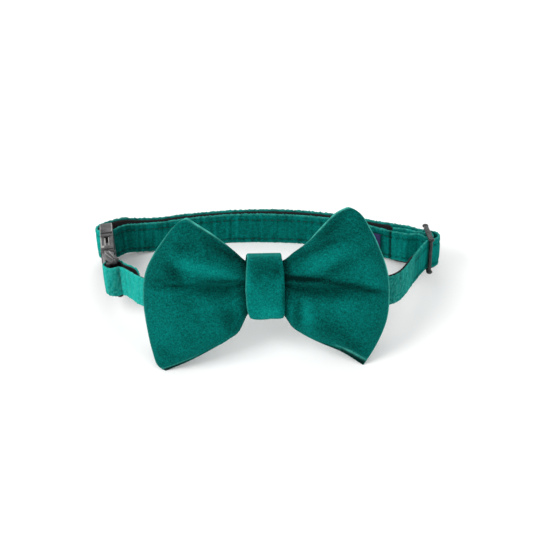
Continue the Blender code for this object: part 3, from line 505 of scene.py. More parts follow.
def make_bow():
    """Both panels, welded along the sewn edge."""
    builder = velvet_builder()
    builder.verts.layers.float.new("held")
    welded = []
    for front in (True, False):
        verts, column, row = laid_grid(builder, 2 * WING_COLUMNS, WING_ROWS)
        welded += verts
        x_share = column / WING_COLUMNS - 1
        y_share = 2 * row / WING_ROWS - 1
        along = np.sin(np.abs(x_share) * math.pi / 2) ** 1.25
        across = np.sin(y_share * math.pi / 2)
        laid_along, laid_across = rounded_corner(along, across)
        puff = FRONT_PUFF if front else BACK_PUFF
        grow = eased(0.12, 0.55, along)
        depth = PINCH_DEPTH / 2 * (1 - grow) + puff * grow
        round_across = np.clip(1 - np.abs(across) ** PUFF_POWER, 0, 1) ** PUFF_ROOT
        outwards = np.clip((along - PUFF_END) / (1 - PUFF_END), 0, 1)
        round_along = np.clip(1 - outwards ** PUFF_POWER, 0, 1) ** PUFF_ROOT
        relief = np.zeros(len(verts))
        flat = np.zeros((len(verts), 2))
        for side, sign in (("left", -1), ("right", 1)):
            mine = (x_share < 0) if side == "left" else (x_share >= 0)
            flat[mine] = wing_surface(side, laid_along[mine], laid_across[mine]) * (sign, 1)
            relief[mine] = fold_relief(side, along[mine], across[mine])
        if not front:
            relief *= BACK_FOLDS
        thick = depth * np.clip(1 + relief, THINNEST, None) * round_across * round_along
        thick[(np.abs(x_share) > 0.999) | (np.abs(y_share) > 0.999)] = 0.0
        curl = -TIP_CURL * along * eased(0.2, 1.0, -across)
        local = np.column_stack((flat[:, 0], curl - thick if front else curl + thick, flat[:, 1]))
        for vert, place in zip(verts, local):
            vert.co = BOW_FRAME @ Vector(place)
        on_left = (x_share < 0).astype(float)
        # painted highlight: a pale, uneven line along the top and outer edges and along the hem
        top_edge = eased(0.984, 0.998, across) * eased(0.30, 0.46, along)
        outer_edge = eased(0.988, 0.998, along) * (1 - 0.6 * eased(-0.1, -0.7, across))
        outer_edge *= 1 - 0.6 * on_left
        hem = np.exp(-((across + 0.945) / 0.012) ** 2) * eased(0.60, 0.75, along) * (0.5 - 0.2 * on_left)
        uneven = np.array([0.75 + 0.6 * noise.noise(vert.co * 420) for vert in verts])
        paint(builder, "rim_highlight", verts, np.maximum(np.maximum(top_edge, outer_edge) * 0.75, hem) * uneven)
        x_mm = local[:, 0] / MM
        z_mm = (local[:, 2] + local[:, 1] * VIEW_SLANT) / MM
        tone = light_and_shade_tone(x_mm, z_mm, BOW_LIGHT_AND_SHADE) if front else np.zeros(len(verts))
        # painted shade: darker on both wings, more on their upper halves, beside the knot and on the
        # lower edge turned under
        tone -= WING_SHADE + UPPER_SHADE * eased(-2, 8, z_mm)
        tone -= KNOT_SHADE * (1 - eased(0.160, 0.190, along))
        tone -= NEAR_KNOT_SHADE * (1 - eased(0.18, 0.40, along))
        under = eased(0.950, 0.965, -across) * eased(0.70, 0.80, along)
        under = np.maximum(under, eased(0.970, 0.985, -across) * eased(0.45, 0.62, along))
        tone -= UNDER_SHADE * under
        paint(builder, "light_and_shade", verts, tone)
        at_edge = np.maximum(eased(0.90, 0.98, np.abs(across)), eased(0.93, 0.985, along))
        paint(builder, "held", verts, np.maximum(at_edge, 1 - eased(0.19, 0.26, along)))
    bmesh.ops.remove_doubles(builder, verts=welded, dist=0.005 * MM)
    bmesh.ops.recalc_face_normals(builder, faces=builder.faces)
    made = piece(builder, "bow_velvet_panels", bow_velvet, ["bow"])
    settle(made)
    smooth = made.modifiers.new("smooth", "SUBSURF")
    smooth.levels = 1
    smooth.render_levels = 1


make_bow()

# Knot band: a strip of the same velvet, folded lengthwise, wrapped tightly round the gathered bow
# and the strap behind it, and sewn shut at the back.
BAND_FRONT_ROUND = 4.1 * MM
BAND_BACK_ROUND = 1.7 * MM
STRAP_THICK = 1.4 * MM
BAND_COLUMNS = 20
BAND_STEP = 0.7 * MM
BAND_ROLL = 0.5 * MM
# half widths of the band in millimetres, left and right, by share of its height
BAND_OUTLINE = [
    (-1.05, 5.0, 6.5), (-0.85, 6.1, 6.9), (-0.60, 6.9, 7.1), (0.00, 7.4, 7.1), (0.60, 7.1, 6.9),
    (0.90, 6.7, 6.4), (1.00, 6.1, 5.9), (1.05, 5.6, 5.4),
]

band_velvet = velvet_finish("band_velvet", 0.5)

# patches of painted light and shade on the band, as on the bow: painted shade at its top and right edge,
# painted light at its bottom and left edge
BAND_LIGHT_AND_SHADE = [
    (0.0, 5.5, 7.0, 4.0, 0, -0.85), (4.0, 4.5, 1.5, 2.0, 0, -0.50), (0.5, -11.5, 6.0, 3.2, 0, 0.90),
    (-6.2, 1.5, 0.8, 8.0, 0, 0.70), (6.6, -6.0, 0.7, 6.0, 0, -0.90), (-1.0, -5.0, 4.0, 2.5, 20, 0.20),
]


def band_profile():
    """Middle line of the band in the bow frame as y and z, closed, with small even steps."""
    reach = BAND_CLEAR + BAND_THICK / 2
    front = -PINCH_DEPTH / 2 - reach
    back = PINCH_DEPTH / 2 + BAND_CLEAR + STRAP_THICK + reach
    top = PINCH_HEIGHT / 2 + reach
    points = []
    for y, z, radius, start in ((back, -top, BAND_BACK_ROUND, 270), (back, top, BAND_BACK_ROUND, 0),
                                (front, top, BAND_FRONT_ROUND, 90), (front, -top, BAND_FRONT_ROUND, 180)):
        centre = Vector((y - math.copysign(radius, y), z - math.copysign(radius, z)))
        for step in range(7):
            angle = math.radians(start + 15 * step)
            points.append(centre + Vector((math.cos(angle), math.sin(angle))) * radius)
    lengths = [0.0]
    for index, place in enumerate(points):
        lengths.append(lengths[-1] + (points[(index + 1) % len(points)] - place).length)
    count = round(lengths[-1] / BAND_STEP)
    at = np.linspace(0, lengths[-1], count, endpoint=False)
    closed = points + [points[0]]
    ys = np.interp(at, lengths, [place.x for place in closed])
    zs = np.interp(at, lengths, [place.y for place in closed])
    return ys, zs


def give_thickness(made, thickness, rounding, segments):
    """Thickness of a flat piece about its middle, with rolled edges."""
    wall = made.modifiers.new("wall", "SOLIDIFY")
    wall.thickness = thickness
    wall.offset = 0.0
    rolled = made.modifiers.new("rolled_edges", "BEVEL")
    rolled.width = rounding
    rolled.segments = segments
    rolled.limit_method = "ANGLE"
    rolled.angle_limit = math.radians(60)


def make_band():
    """Band with a crowned front, rolled side edges and a few soft wrinkles."""
    ys, zs = band_profile()
    count = len(ys)
    builder = velvet_builder()
    verts, column, row = laid_grid(builder, count, BAND_COLUMNS)
    share = 2 * row / BAND_COLUMNS - 1
    turn_y = np.roll(ys, -1) - np.roll(ys, 1)
    turn_z = np.roll(zs, -1) - np.roll(zs, 1)
    long = np.hypot(turn_y, turn_z)
    rim_highlights = []
    local = []
    ups, lefts, rights = np.array(BAND_OUTLINE).T
    for index, vert in enumerate(verts):
        ring = column[index] % count
        up = zs[ring] / (PINCH_HEIGHT / 2 + BAND_CLEAR + BAND_THICK)
        x = share[index] * np.interp(up, ups, lefts if share[index] < 0 else rights) * MM
        in_front = eased(1.0 * MM, -2.0 * MM, ys[ring])
        wrinkle = noise.noise(Vector((x * 260, zs[ring] * 90, 3.7))) * 0.35 * MM * in_front
        crown = 0.5 * MM * (1 - share[index] ** 4) * in_front - 0.25 * MM * in_front + wrinkle
        y = ys[ring] + crown * turn_z[ring] / long[ring]
        z = zs[ring] - crown * turn_y[ring] / long[ring]
        vert.co = BOW_FRAME @ Vector((x, y, z - BAND_DROP))
        local.append((x / MM, (z - BAND_DROP + y * VIEW_SLANT) / MM))
        # painted highlight along the left edge only
        rim_highlights.append(float(eased(0.94, 1.0, abs(share[index]))) * (0.35 if share[index] < 0 else 0.0))
    paint(builder, "rim_highlight", verts, rim_highlights)
    local = np.array(local)
    paint(builder, "light_and_shade", verts, light_and_shade_tone(local[:, 0], local[:, 1], BAND_LIGHT_AND_SHADE))
    bmesh.ops.remove_doubles(builder, verts=verts, dist=0.005 * MM)
    bmesh.ops.recalc_face_normals(builder, faces=builder.faces)
    made = piece(builder, "knot_band_velvet", band_velvet, ["knot_band"])
    give_thickness(made, BAND_THICK - 0.2 * MM, BAND_ROLL, 3)


make_band()

# Strap: one ribbon with a velvet face, hemmed and sewn on black webbing along both edges. It runs
# from its sewn tail at the slider round the neck twice at the back, and ends sewn at the buckle.
STRAP_WIDTH = 12.0 * MM
EDGE_ROUND = 0.3 * MM        # rounding of the solid's long edges
FACE_TOP = 0.70 * MM         # velvet's face over the strap's middle plane
FACE_BACK = -0.20 * MM       # velvet's back, which the webbing's face reaches
WEBBING_WIDTH = 10.8 * MM
WEBBING_THICK = 0.5 * MM
WEBBING_UP = (0.45 * MM, 0.95 * MM)    # its rise over the velvet, on the left and right front runs
WEBBING_DOWN = 1.4 * MM      # its drop at the slider's tail
UPPER_SEAM = 3.5 * MM        # rows of stitches, above and below the strap's middle line
LOWER_SEAM = -4.4 * MM
SEAM_DEPTH = 0.24 * MM       # depth and half width of the groove under a row of stitches
SEAM_HALF = 0.45 * MM
TACK_DEPTH = 0.38 * MM       # the same for the bars of stitches
TACK_HALF = 0.55 * MM
PUCKER_DEPTH = 0.22 * MM
PUCKER_HALF = 4.2 * MM
SECTION_STEP = 0.5 * MM
FUZZ = 0.42 * MM             # how ragged the pile makes the edges
TAIL_LOOSE = 1.3 * MM        # how far the tail's free end at the buckle stands off the front run
TAIL_ROUND = 3.5 * MM        # rounding of its upper corner, which is also where it stands off most
TAIL_LIFTED = 9.0 * MM       # how far from its end it begins to stand off
TACK_SIDES = (46.1 * MM, -54.6 * MM)    # x of the bars of stitches on the slider's and buckle's tails
# lengths of the strap with painted light and shade on the pile, in millimetres of x: none at the first
# place, full at the second, and its painted tone on the front and the rear runs
LENGTH_LIGHT_AND_SHADE = [
    (-58.0, -61.0, 0.70, 0.00), (40.0, 52.0, 0.25, 0.00), (-30.0, -44.0, 0.80, 0.00),
    (-40.0, -54.0, 0.00, -0.50), (-61.2, -62.6, 1.90, 1.90),
]

strap_velvet = velvet_finish("strap_velvet", 0.6)


def strap_rings():
    """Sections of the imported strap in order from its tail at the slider: middles and width axes."""
    builder = bmesh.new()
    builder.from_mesh(frame["nodes"]["strap"].data)
    bmesh.ops.remove_doubles(builder, verts=builder.verts, dist=0.001 * MM)
    label_low, label_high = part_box("label")
    beside_label = (label_low + label_high) / 2
    # the middle of an end face, inside the rounding, is two triangles that lie flat together
    end_area = (STRAP_WIDTH - 2 * EDGE_ROUND) * (STRAP_THICK - 2 * EDGE_ROUND)
    caps = []
    for face in builder.faces:
        for edge in face.edges:
            other = [near for near in edge.link_faces if near is not face][0]
            area = face.calc_area() + other.calc_area()
            if edge.calc_face_angle() < 0.01 and abs(area / end_area - 1) < 0.02:
                caps.append((face, other))
    first = min(caps, key=lambda pair: (pair[0].calc_center_median() - beside_label).length)
    ring = list({vert for face in first for vert in face.verts})
    # each ring is made of the vertices that the ring before it touches
    seen = set(ring)
    middles = []
    axes = []
    while ring:
        by_height = sorted(ring, key=lambda vert: (vert.co.z, vert.co.x, vert.co.y))
        half = len(ring) // 2
        low = sum((vert.co for vert in by_height[:half]), Vector()) / half
        high = sum((vert.co for vert in by_height[half:]), Vector()) / (len(ring) - half)
        middles.append((low + high) / 2)
        axes.append((high - low).normalized())
        after = {edge.other_vert(vert) for vert in ring for edge in vert.link_edges} - seen
        seen |= after
        ring = list(after)
    builder.free()
    # the last ring only holds what is left of the far end's face
    return np.array(middles[:-1]), np.array(axes[:-1])


def strap_sections():
    """Close sections: places along the strap, middles, width axes and sides towards the velvet."""
    middles, axes = strap_rings()
    steps = np.linalg.norm(np.diff(middles, axis=0), axis=1)
    keep = np.concatenate(([True], steps > 0.05 * MM))
    middles = middles[keep]
    axes = axes[keep]
    places = np.concatenate(([0.0], np.cumsum(np.linalg.norm(np.diff(middles, axis=0), axis=1))))
    at = np.linspace(0, places[-1], round(places[-1] / SECTION_STEP) + 1)
    middle = smooth_through(places, middles, at)
    axis = smooth_through(places, axes, at)
    axis /= np.linalg.norm(axis, axis=1)[:, None]
    along = np.gradient(middle, at, axis=0)
    side = np.cross(axis, along)
    side /= np.linalg.norm(side, axis=1)[:, None]
    to_end = at[-1] - at
    loose = 1 - eased(TAIL_ROUND, TAIL_LIFTED, to_end) - 0.45 * (1 - eased(0, 2 * MM, to_end))
    return at, middle + side * (TAIL_LOOSE * loose)[:, None], axis, side


strap_at, strap_middle, strap_axis, strap_side = strap_sections()

# for each section, 1 behind the neck, and 1 at the slider's end of the rear runs, with no stitches
REAR = eased(-1 * MM, 4 * MM, strap_middle[:, 1])
TAIL = eased(45.5 * MM, 47.5 * MM, strap_middle[:, 0]) * eased(4 * MM, 10 * MM, strap_middle[:, 1])


def section_of(at):
    """Number of the section at a place along the strap."""
    return round(at / strap_at[1])


def ribbon_tube(name, finish, profile, relief, replaced=(), rim_highlight=None, light_and_shade=None, fuzz=0.0,
                lift=None):
    """Closed ribbon along the whole strap from a closed profile of (width, thickness) places."""
    builder = velvet_builder()
    sections = len(strap_at)
    verts, column, row = laid_grid(builder, sections - 1, len(profile))
    rim_highlights = []
    tones = []
    for index, vert in enumerate(verts):
        section = column[index]
        wide, thick = profile[row[index] % len(profile)]
        thick += relief(strap_at[section], wide, thick)
        wide += lift[section] if lift is not None else 0.0
        to_end = strap_at[-1] - strap_at[section]
        corner = max(0.0, 1 - to_end / TAIL_ROUND)
        if wide > 0:
            wide *= 1 - TAIL_ROUND / (STRAP_WIDTH / 2) * (1 - math.sqrt(1 - corner * corner))
        ragged = noise.noise(Vector((strap_at[section] * 1700, thick * 900, wide * 150)))
        wide += fuzz * float(eased(0, 2 * MM, to_end)) * ragged
        vert.co = Vector(strap_middle[section] + strap_axis[section] * wide + strap_side[section] * thick)
        rim_highlights.append(rim_highlight(strap_at[section], wide) if rim_highlight else 0.0)
        tones.append(light_and_shade(strap_at[section], wide, vert.co) if light_and_shade else 0.0)
    paint(builder, "rim_highlight", verts, rim_highlights)
    paint(builder, "light_and_shade", verts, tones)
    bmesh.ops.remove_doubles(builder, verts=verts, dist=0.002 * MM)
    bmesh.ops.holes_fill(builder, edges=[edge for edge in builder.edges if edge.is_boundary], sides=0)
    bmesh.ops.recalc_face_normals(builder, faces=builder.faces)
    return piece(builder, name, finish, replaced)


def tape_profile(width, low, high, points):
    """Rounded flat profile, as (width, thickness) places in even turns."""
    out = []
    half = (high - low) / 2
    for step in range(points):
        angle = 2 * math.pi * step / points
        wide = math.copysign(abs(math.cos(angle)) ** 0.55, math.cos(angle)) * width / 2
        thick = math.copysign(abs(math.sin(angle)) ** 0.35, math.sin(angle)) * half
        out.append((wide, thick + (high + low) / 2))
    return out


def seam_share(wide):
    """1 in the two stitched grooves of the velvet, 0 away from them."""
    return max(math.exp(-((wide - seam) / SEAM_HALF) ** 2) for seam in (UPPER_SEAM, LOWER_SEAM))


def place_along(x, first, last):
    """Place along the strap where its middle is nearest an x, between two places."""
    allowed = (strap_at > first) & (strap_at < last)
    return float(strap_at[np.where(allowed, np.abs(strap_middle[:, 0] - x), 1.0).argmin()])


# bars of stitches that sew the two tails down: one under the rear pass, one beside the buckle
TACKS = [place_along(TACK_SIDES[0], 20 * MM, 120 * MM),
         place_along(TACK_SIDES[1], strap_at[-1] - 60 * MM, strap_at[-1] - 22 * MM)]


def tack_share(at):
    """1 in the grooves of the bars of stitches, 0 away from them."""
    return max(math.exp(-((at - tack) / TACK_HALF) ** 2) for tack in TACKS)


def pucker(at, wide):
    """Small folds across the strap that the sewing draws in, from -1 to 1."""
    return noise.noise(Vector((at * 850, wide * 60, 0.0)))


def velvet_relief(at, wide, thick):
    """Groove under each row of stitches, and puckers across the face between them."""
    rear = REAR[section_of(at)]
    if thick < 0:
        return -0.26 * MM * rear
    between = math.exp(-((wide - (UPPER_SEAM + LOWER_SEAM) / 2) / PUCKER_HALF) ** 2)
    groove = SEAM_DEPTH * seam_share(wide) * (0.25 + 0.75 * rear) + TACK_DEPTH * tack_share(at)
    return pucker(at, wide) * PUCKER_DEPTH * between - groove - 0.08 * MM


def strap_tone(at, wide, place):
    """Painted shade in the grooves, puckers and bars of stitches, and painted light beside the buckle's
    bar, at the slider's tail and where the front left run turns to the light.
    """
    in_front = float(eased(4 * MM, -4 * MM, place.y))
    # painted shade in the stitched grooves, uneven along them, stronger on the rear runs
    painted_light = 0.7 + 0.9 * noise.noise(Vector((at * 600, 2.0, 0.0)))
    tone = -(0.9 - 0.75 * in_front) * seam_share(wide) * painted_light
    # painted light and shade on the puckers' folds, and painted shade in the bars of stitches
    tone += 0.8 * pucker(at, wide) - 1.6 * tack_share(at)
    # painted light on the front run beside the buckle's bar of stitches, and at the slider's tail
    beside_tack = float(eased(-55.4 * MM, -53.6 * MM, place.x) * eased(-30 * MM, -44 * MM, place.x))
    tone += 0.9 * in_front * beside_tack + 0.35 * TAIL[section_of(at)]
    # painted light and shade along lengths of the strap
    for start, full, front_tone, rear_tone in LENGTH_LIGHT_AND_SHADE:
        share = float(eased(start * MM, full * MM, place.x))
        tone += share * (front_tone * in_front + rear_tone * (1 - in_front))
    return tone


def strap_rim_highlight(at, wide):
    """Painted highlight along both edges, uneven, and a mottled painted light over the front runs."""
    uneven = 0.6 + 0.8 * noise.noise(Vector((at * 700, 0.0, 5.0)))
    mottled = 0.6 + 1.6 * noise.noise(Vector((at * 1100, wide * 1100, 8.0)))
    pale = 0.20 * (1 - REAR[section_of(at)]) * mottled
    return max(0.34 * uneven * float(eased(5.40 * MM, 5.95 * MM, abs(wide))), pale)


velvet_profile = tape_profile(STRAP_WIDTH, FACE_BACK, FACE_TOP, 64)
ribbon_tube("strap_velvet_face", strap_velvet, velvet_profile, velvet_relief, ["strap"],
            rim_highlight=strap_rim_highlight, light_and_shade=strap_tone, fuzz=FUZZ)


def webbing_group():
    """Woven tape: ribs across it and a fine thread grain."""
    tree, given, place = open_group("woven_tape", [
        ("Dark", "Color", (0.01, 0.008, 0.009, 1)), ("Thread", "Color", (0.03, 0.025, 0.027, 1)),
        ("Fine", "Float", 1.0),
    ])
    scaled = node(tree, "ShaderNodeVectorMath", {0: place, 3: given.outputs["Fine"]}, operation="SCALE")
    waves = []
    for direction, scale in (("Z", 420.0), ("X", 380.0)):
        wave = node(tree, "ShaderNodeTexWave", {"Vector": scaled.outputs[0], "Scale": scale,
                                                "Distortion": 1.5, "Detail Scale": 2.0},
                    bands_direction=direction)
        waves.append(wave.outputs["Fac"])
    weave = maths(tree, "MULTIPLY", *waves)
    grain = noise_at(tree, place, 1800.0, 2.0)
    share = weighted(tree, weave, 0.7, maths(tree, "MULTIPLY", grain, 0.3))
    return close_group(tree, blended(tree, share, given.outputs["Dark"], given.outputs["Thread"]),
                       weighted(tree, grain, 0.25, 0.62), share)


woven = webbing_group()
webbing_black = surface_material("webbing_black", woven, {"Dark": (0.006, 0.004, 0.005, 1),
                                                          "Thread": (0.022, 0.015, 0.017, 1)},
                                 bump=0.5, specular=0.3)
webbing_profile = tape_profile(WEBBING_WIDTH, -FACE_TOP, -FACE_TOP + WEBBING_THICK, 24)
ribbon_tube("strap_webbing", webbing_black, webbing_profile, lambda at, wide, thick: 0.0,
            lift=np.where(strap_middle[:, 0] < 0, *WEBBING_UP) * (1 - REAR) - WEBBING_DOWN * TAIL)

# Stitches: dark green thread in two rows through velvet and webbing, pulled down into the pile, and
# a dense bar of stitches where each tail is sewn back on the strap.
STITCH_PITCH = 2.5 * MM
STITCH_LENGTH = 1.7 * MM
STITCH_WIDE = 0.30 * MM
STITCH_THICK = 0.30 * MM
STITCH_RISE = 0.02 * MM      # over the bottom of its groove
TACK_STITCH_WIDE = 0.8 * MM
TACK_STITCHES = 9

thread_green = surface_material("thread_green", woven, {"Dark": (0.001, 0.026, 0.023, 1),
                                                        "Thread": (0.004, 0.072, 0.062, 1), "Fine": 2.0},
                                bump=0.4, specular=0.3)


def strap_frame(at, wide, thick):
    """Place on the strap with x along it, y along its width and z out of its face."""
    section = int(np.clip(np.searchsorted(strap_at, at), 1, len(strap_at) - 2))
    along = Vector(strap_middle[section + 1] - strap_middle[section - 1]).normalized()
    axis = Vector(strap_axis[section])
    side = Vector(strap_side[section])
    middle = Vector([np.interp(at, strap_at, strap_middle[:, c]) for c in range(3)])
    turn = Matrix((along, axis, side)).transposed().to_4x4()
    return Matrix.Translation(middle + axis * wide + side * thick) @ turn


def add_stitch(builder, matrix, long, wide, thick):
    """One thread loop seen from outside: a small rounded dash."""
    bmesh.ops.create_icosphere(builder, subdivisions=1, radius=0.5,
                               matrix=matrix @ Matrix.Diagonal((long, wide, thick, 1)))


builder = bmesh.new()
count = int(strap_at[-1] / STITCH_PITCH)
for step in range(1, count):
    for seam in (UPPER_SEAM, LOWER_SEAM):
        wander = noise.noise(Vector((step * 0.73, seam * 900, 1.3)))
        at = step * STITCH_PITCH + 0.35 * MM * wander
        section = section_of(at)
        if REAR[section] < 0.5 or TAIL[section] > 0.5:
            continue
        surface = FACE_TOP + velvet_relief(at, seam, FACE_TOP)
        long = STITCH_LENGTH * (1 + 0.25 * wander)
        add_stitch(builder, strap_frame(at, seam + 0.12 * MM * wander, surface + STITCH_RISE), long,
                   STITCH_WIDE, STITCH_THICK)
for tack in TACKS:
    for row in range(TACK_STITCHES):
        wide = LOWER_SEAM + (UPPER_SEAM - LOWER_SEAM) * row / (TACK_STITCHES - 1)
        surface = FACE_TOP + velvet_relief(tack, wide, FACE_TOP)
        add_stitch(builder, strap_frame(tack, wide, surface + STITCH_RISE), STITCH_WIDE,
                   TACK_STITCH_WIDE, STITCH_THICK)
bmesh.ops.recalc_face_normals(builder, faces=builder.faces)
piece(builder, "strap_stitches", thread_green)

# Label: a bare navy woven tab, its ends folded under, sewn on the side of the strap that faces the
# neck, beside the slider.
LABEL_WIDTH = 16.0 * MM
LABEL_HEIGHT = 8.0 * MM
LABEL_THICK = 0.8 * MM
LABEL_PUFF = 0.12 * MM
LABEL_COLUMNS = 24
LABEL_ROWS = 12
LABEL_SHOWN = 1.4 * MM       # how far it is drawn towards the slider from its solid

label_weave = surface_material("label_weave", woven, {"Dark": (0.008, 0.009, 0.045, 1),
                                                      "Thread": (0.024, 0.024, 0.110, 1), "Fine": 1.6},
                               bump=0.5, specular=0.35)
label_low, label_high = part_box("label")
label_middle = np.array((label_low + label_high) / 2)
label_at = strap_at[np.linalg.norm(strap_middle - label_middle, axis=1).argmin()]
label_at += LABEL_SHOWN * np.sign(np.interp(label_at + MM, strap_at, strap_middle[:, 0])
                                  - np.interp(label_at - MM, strap_at, strap_middle[:, 0]))
builder = bmesh.new()
verts, column, row = laid_grid(builder, LABEL_COLUMNS, LABEL_ROWS)
for index, vert in enumerate(verts):
    share = column[index] / LABEL_COLUMNS - 0.5
    rise = row[index] / LABEL_ROWS - 0.5
    place = strap_frame(label_at + share * LABEL_WIDTH, rise * LABEL_HEIGHT,
                        STRAP_THICK / 2 + BAND_CLEAR + LABEL_THICK / 2)
    puffed = LABEL_PUFF * (1 - (2 * rise) ** 4) * (1 - (2 * share) ** 6)
    vert.co = place @ Vector((0, 0, puffed))
bmesh.ops.recalc_face_normals(builder, faces=builder.faces)
label = piece(builder, "label_tab", label_weave, ["label"])
give_thickness(label, LABEL_THICK - 0.25 * MM, 0.2 * MM, 2)

# Buckle: a side-release buckle of dark grey moulded plastic. The hollow socket takes the plug's two
# prongs, and its narrow sides have windows; the plug's thumb buttons close its mouth.
BUCKLE_TURN = math.radians(-87.5)
BUCKLE_LEAN = math.radians(6.5)
BUCKLE_BAR_BACK = 1.2 * MM    # from the socket's rear end to the middle of its bar
BUCKLE_THICK = 4.9 * MM
BUCKLE_SIDE = 7.8 * MM        # from its middle to a narrow side
MOULD_ROUND = 0.16 * MM
PAD_OUT = 0.5 * MM            # how far the narrow sides' pads stand out, and how deep they are sunk
PAD_SUNK = 0.6 * MM
RIB_OUT = 0.18 * MM           # the same for the ribs of painted highlight
RIB_SUNK = 0.5 * MM
RIB_ROUND = 0.12 * MM
BAND_OUT = 0.14 * MM          # the same for the raised bands across the flat faces
BAND_SUNK = 0.5 * MM
FACE_BAND_ROUND = 0.2 * MM


def plastic_group():
    """Moulded plastic: fine spark texture, faint scuffs, and a slight change of gloss."""
    tree, given, place = open_group("moulded_plastic", [
        ("Body", "Color", (0.05, 0.05, 0.05, 1)), ("Scuff", "Color", (0.15, 0.15, 0.15, 1)),
        ("Gloss", "Float", 0.4),
    ])
    cloud = noise_at(tree, place, 330.0, 4.0)
    spark = noise_at(tree, place, 2600.0, 1.0)
    colour = blended(tree, spread(tree, cloud, 0.42, 0.66), given.outputs["Body"], given.outputs["Scuff"])
    return close_group(tree, colour, weighted(tree, cloud, 0.25, given.outputs["Gloss"]), spark)


def moulding_frame(name, turn, width, lead):
    """Frame of a moulded piece: x along it from a lead past its end, y to the neck, z along its width."""
    x_axis = Vector((math.cos(turn), math.sin(turn), 0))
    z_axis = (width - x_axis * width.dot(x_axis)).normalized()
    turned = Matrix((x_axis, z_axis.cross(x_axis), z_axis)).transposed().to_4x4()
    turned = Matrix.Rotation(-REST_TILT, 4, "X") @ turned
    low, high = local_extent(name, turned)
    middle = (low + high) / 2
    return Matrix.Translation(turned @ Vector((low[0] + lead, middle[1], middle[2]))) @ turned


def moulded_copy(name):
    """The solid's own shape with its loose triangles merged and its sharp edges softened."""
    builder = bmesh.new()
    builder.from_mesh(frame["nodes"][name].data)
    bmesh.ops.remove_doubles(builder, verts=builder.verts, dist=0.002 * MM)
    bmesh.ops.dissolve_limit(builder, angle_limit=math.radians(1.5), verts=builder.verts,
                             edges=builder.edges)
    sharp = [edge for edge in builder.edges
             if edge.is_manifold and edge.calc_face_angle() > math.radians(50)]
    bmesh.ops.bevel(builder, geom=sharp, offset=MOULD_ROUND, segments=2, profile=0.5, affect="EDGES",
                    clamp_overlap=True, material=-1)
    bmesh.ops.triangulate(builder, faces=[face for face in builder.faces if len(face.verts) > 4])
    return builder


def add_pad(builder, matrix, low, high, rounding):
    """Raised pad or rib of the moulding between two corners of its frame, with rolled edges."""
    made = bmesh.ops.create_cube(builder, size=1.0)
    verts = made["verts"]
    size = Vector(high) - Vector(low)
    placed = matrix @ Matrix.LocRotScale((Vector(low) + Vector(high)) / 2, None, size)
    bmesh.ops.transform(builder, matrix=placed, verts=verts)
    edges = list({edge for vert in verts for edge in vert.link_edges})
    bmesh.ops.bevel(builder, geom=edges, offset=rounding, segments=3, profile=0.5, affect="EDGES",
                    clamp_overlap=True, material=-1)


def add_knob(builder, matrix, place, size):
    """Rounded end of a bar or a button."""
    bmesh.ops.create_uvsphere(builder, u_segments=20, v_segments=12, radius=0.5,
                              matrix=matrix @ Matrix.LocRotScale(Vector(place), None, Vector(size)))


def moulded_piece(builder, name, finish, node_name):
    """Finished moulding, smooth with crisp edges, that stands for its solid."""
    made = piece(builder, name, finish, [node_name])
    made.data.set_sharp_from_angle(angle=math.radians(38))
    return made


plastic = plastic_group()
buckle_grey = surface_material("buckle_grey", plastic, {"Body": (0.020, 0.020, 0.021, 1),
                                                        "Scuff": (0.062, 0.060, 0.064, 1), "Gloss": 0.18},
                               bump=0.15, depth=0.0001)
# pale plastic of the ribs and ridges, a painted highlight
buckle_highlight = surface_material("buckle_highlight", plastic, {"Body": (0.16, 0.16, 0.155, 1),
                                                        "Scuff": (0.34, 0.34, 0.32, 1), "Gloss": 0.20},
                               bump=0.15, depth=0.0001)
BUCKLE = moulding_frame("buckle_socket", BUCKLE_TURN, Vector((-math.tan(BUCKLE_LEAN), 0, 1)),
                        BUCKLE_BAR_BACK)

# pads of the narrow sides in millimetres: start, end, left, right, what the upper side's lacks in
# height, and rounding
SIDE_PADS = [
    (-1.0, 5.8, -2.2, 2.2, 0.0, 0.35), (6.5, 8.2, -2.2, 2.0, 0.2, 0.30),
    (15.4, 18.0, -2.5, 2.3, 0.0, 0.45),
]
# raised bands across the flat faces in millimetres: start, end, half length
FACE_BANDS = [(16.6, 18.7, 6.9), (5.2, 5.8, 5.6)]
# bright ribs of the narrow sides, a painted highlight, in millimetres: start, end, left, right, and
# height over the side
HIGHLIGHT_RIBS = [
    (9.4, 14.9, -0.95, -0.45, 0.0), (9.0, 14.9, 0.55, 0.95, 0.0), (8.6, 15.2, -2.3, -1.9, 0.0),
    (-0.6, 5.4, 1.95, 2.25, 0.42), (0.2, 5.6, -2.2, -2.0, 0.40), (15.8, 17.2, -2.2, -1.0, 0.40),
]

socket = moulded_copy("buckle_socket")
# ribs and ridges in the pale plastic are a painted highlight
painted_light = bmesh.new()
for sign in (1, -1):
    level = sign * BUCKLE_SIDE
    low, high = sorted((level - sign * PAD_SUNK, level + sign * PAD_OUT))
    for start, end, left, right, lower, rounding in SIDE_PADS:
        add_pad(socket, BUCKLE, (start * MM, left * MM, low),
                (end * MM, right * MM, high - sign * lower * MM), rounding * MM)
    for start, end, left, right, raised in HIGHLIGHT_RIBS:
        crest = level + sign * (RIB_OUT + raised * MM)
        low, high = sorted((crest - sign * RIB_SUNK, crest))
        add_pad(painted_light, BUCKLE, (start * MM, left * MM, low), (end * MM, right * MM, high), RIB_ROUND)
    face = sign * BUCKLE_THICK / 2
    low, high = sorted((face - sign * BAND_SUNK, face + sign * BAND_OUT))
    for start, end, half in FACE_BANDS:
        add_pad(socket, BUCKLE, (start * MM, low, -half * MM), (end * MM, high, half * MM),
                FACE_BAND_ROUND)
moulded_piece(socket, "buckle_socket_moulding", buckle_grey, "buckle_socket")

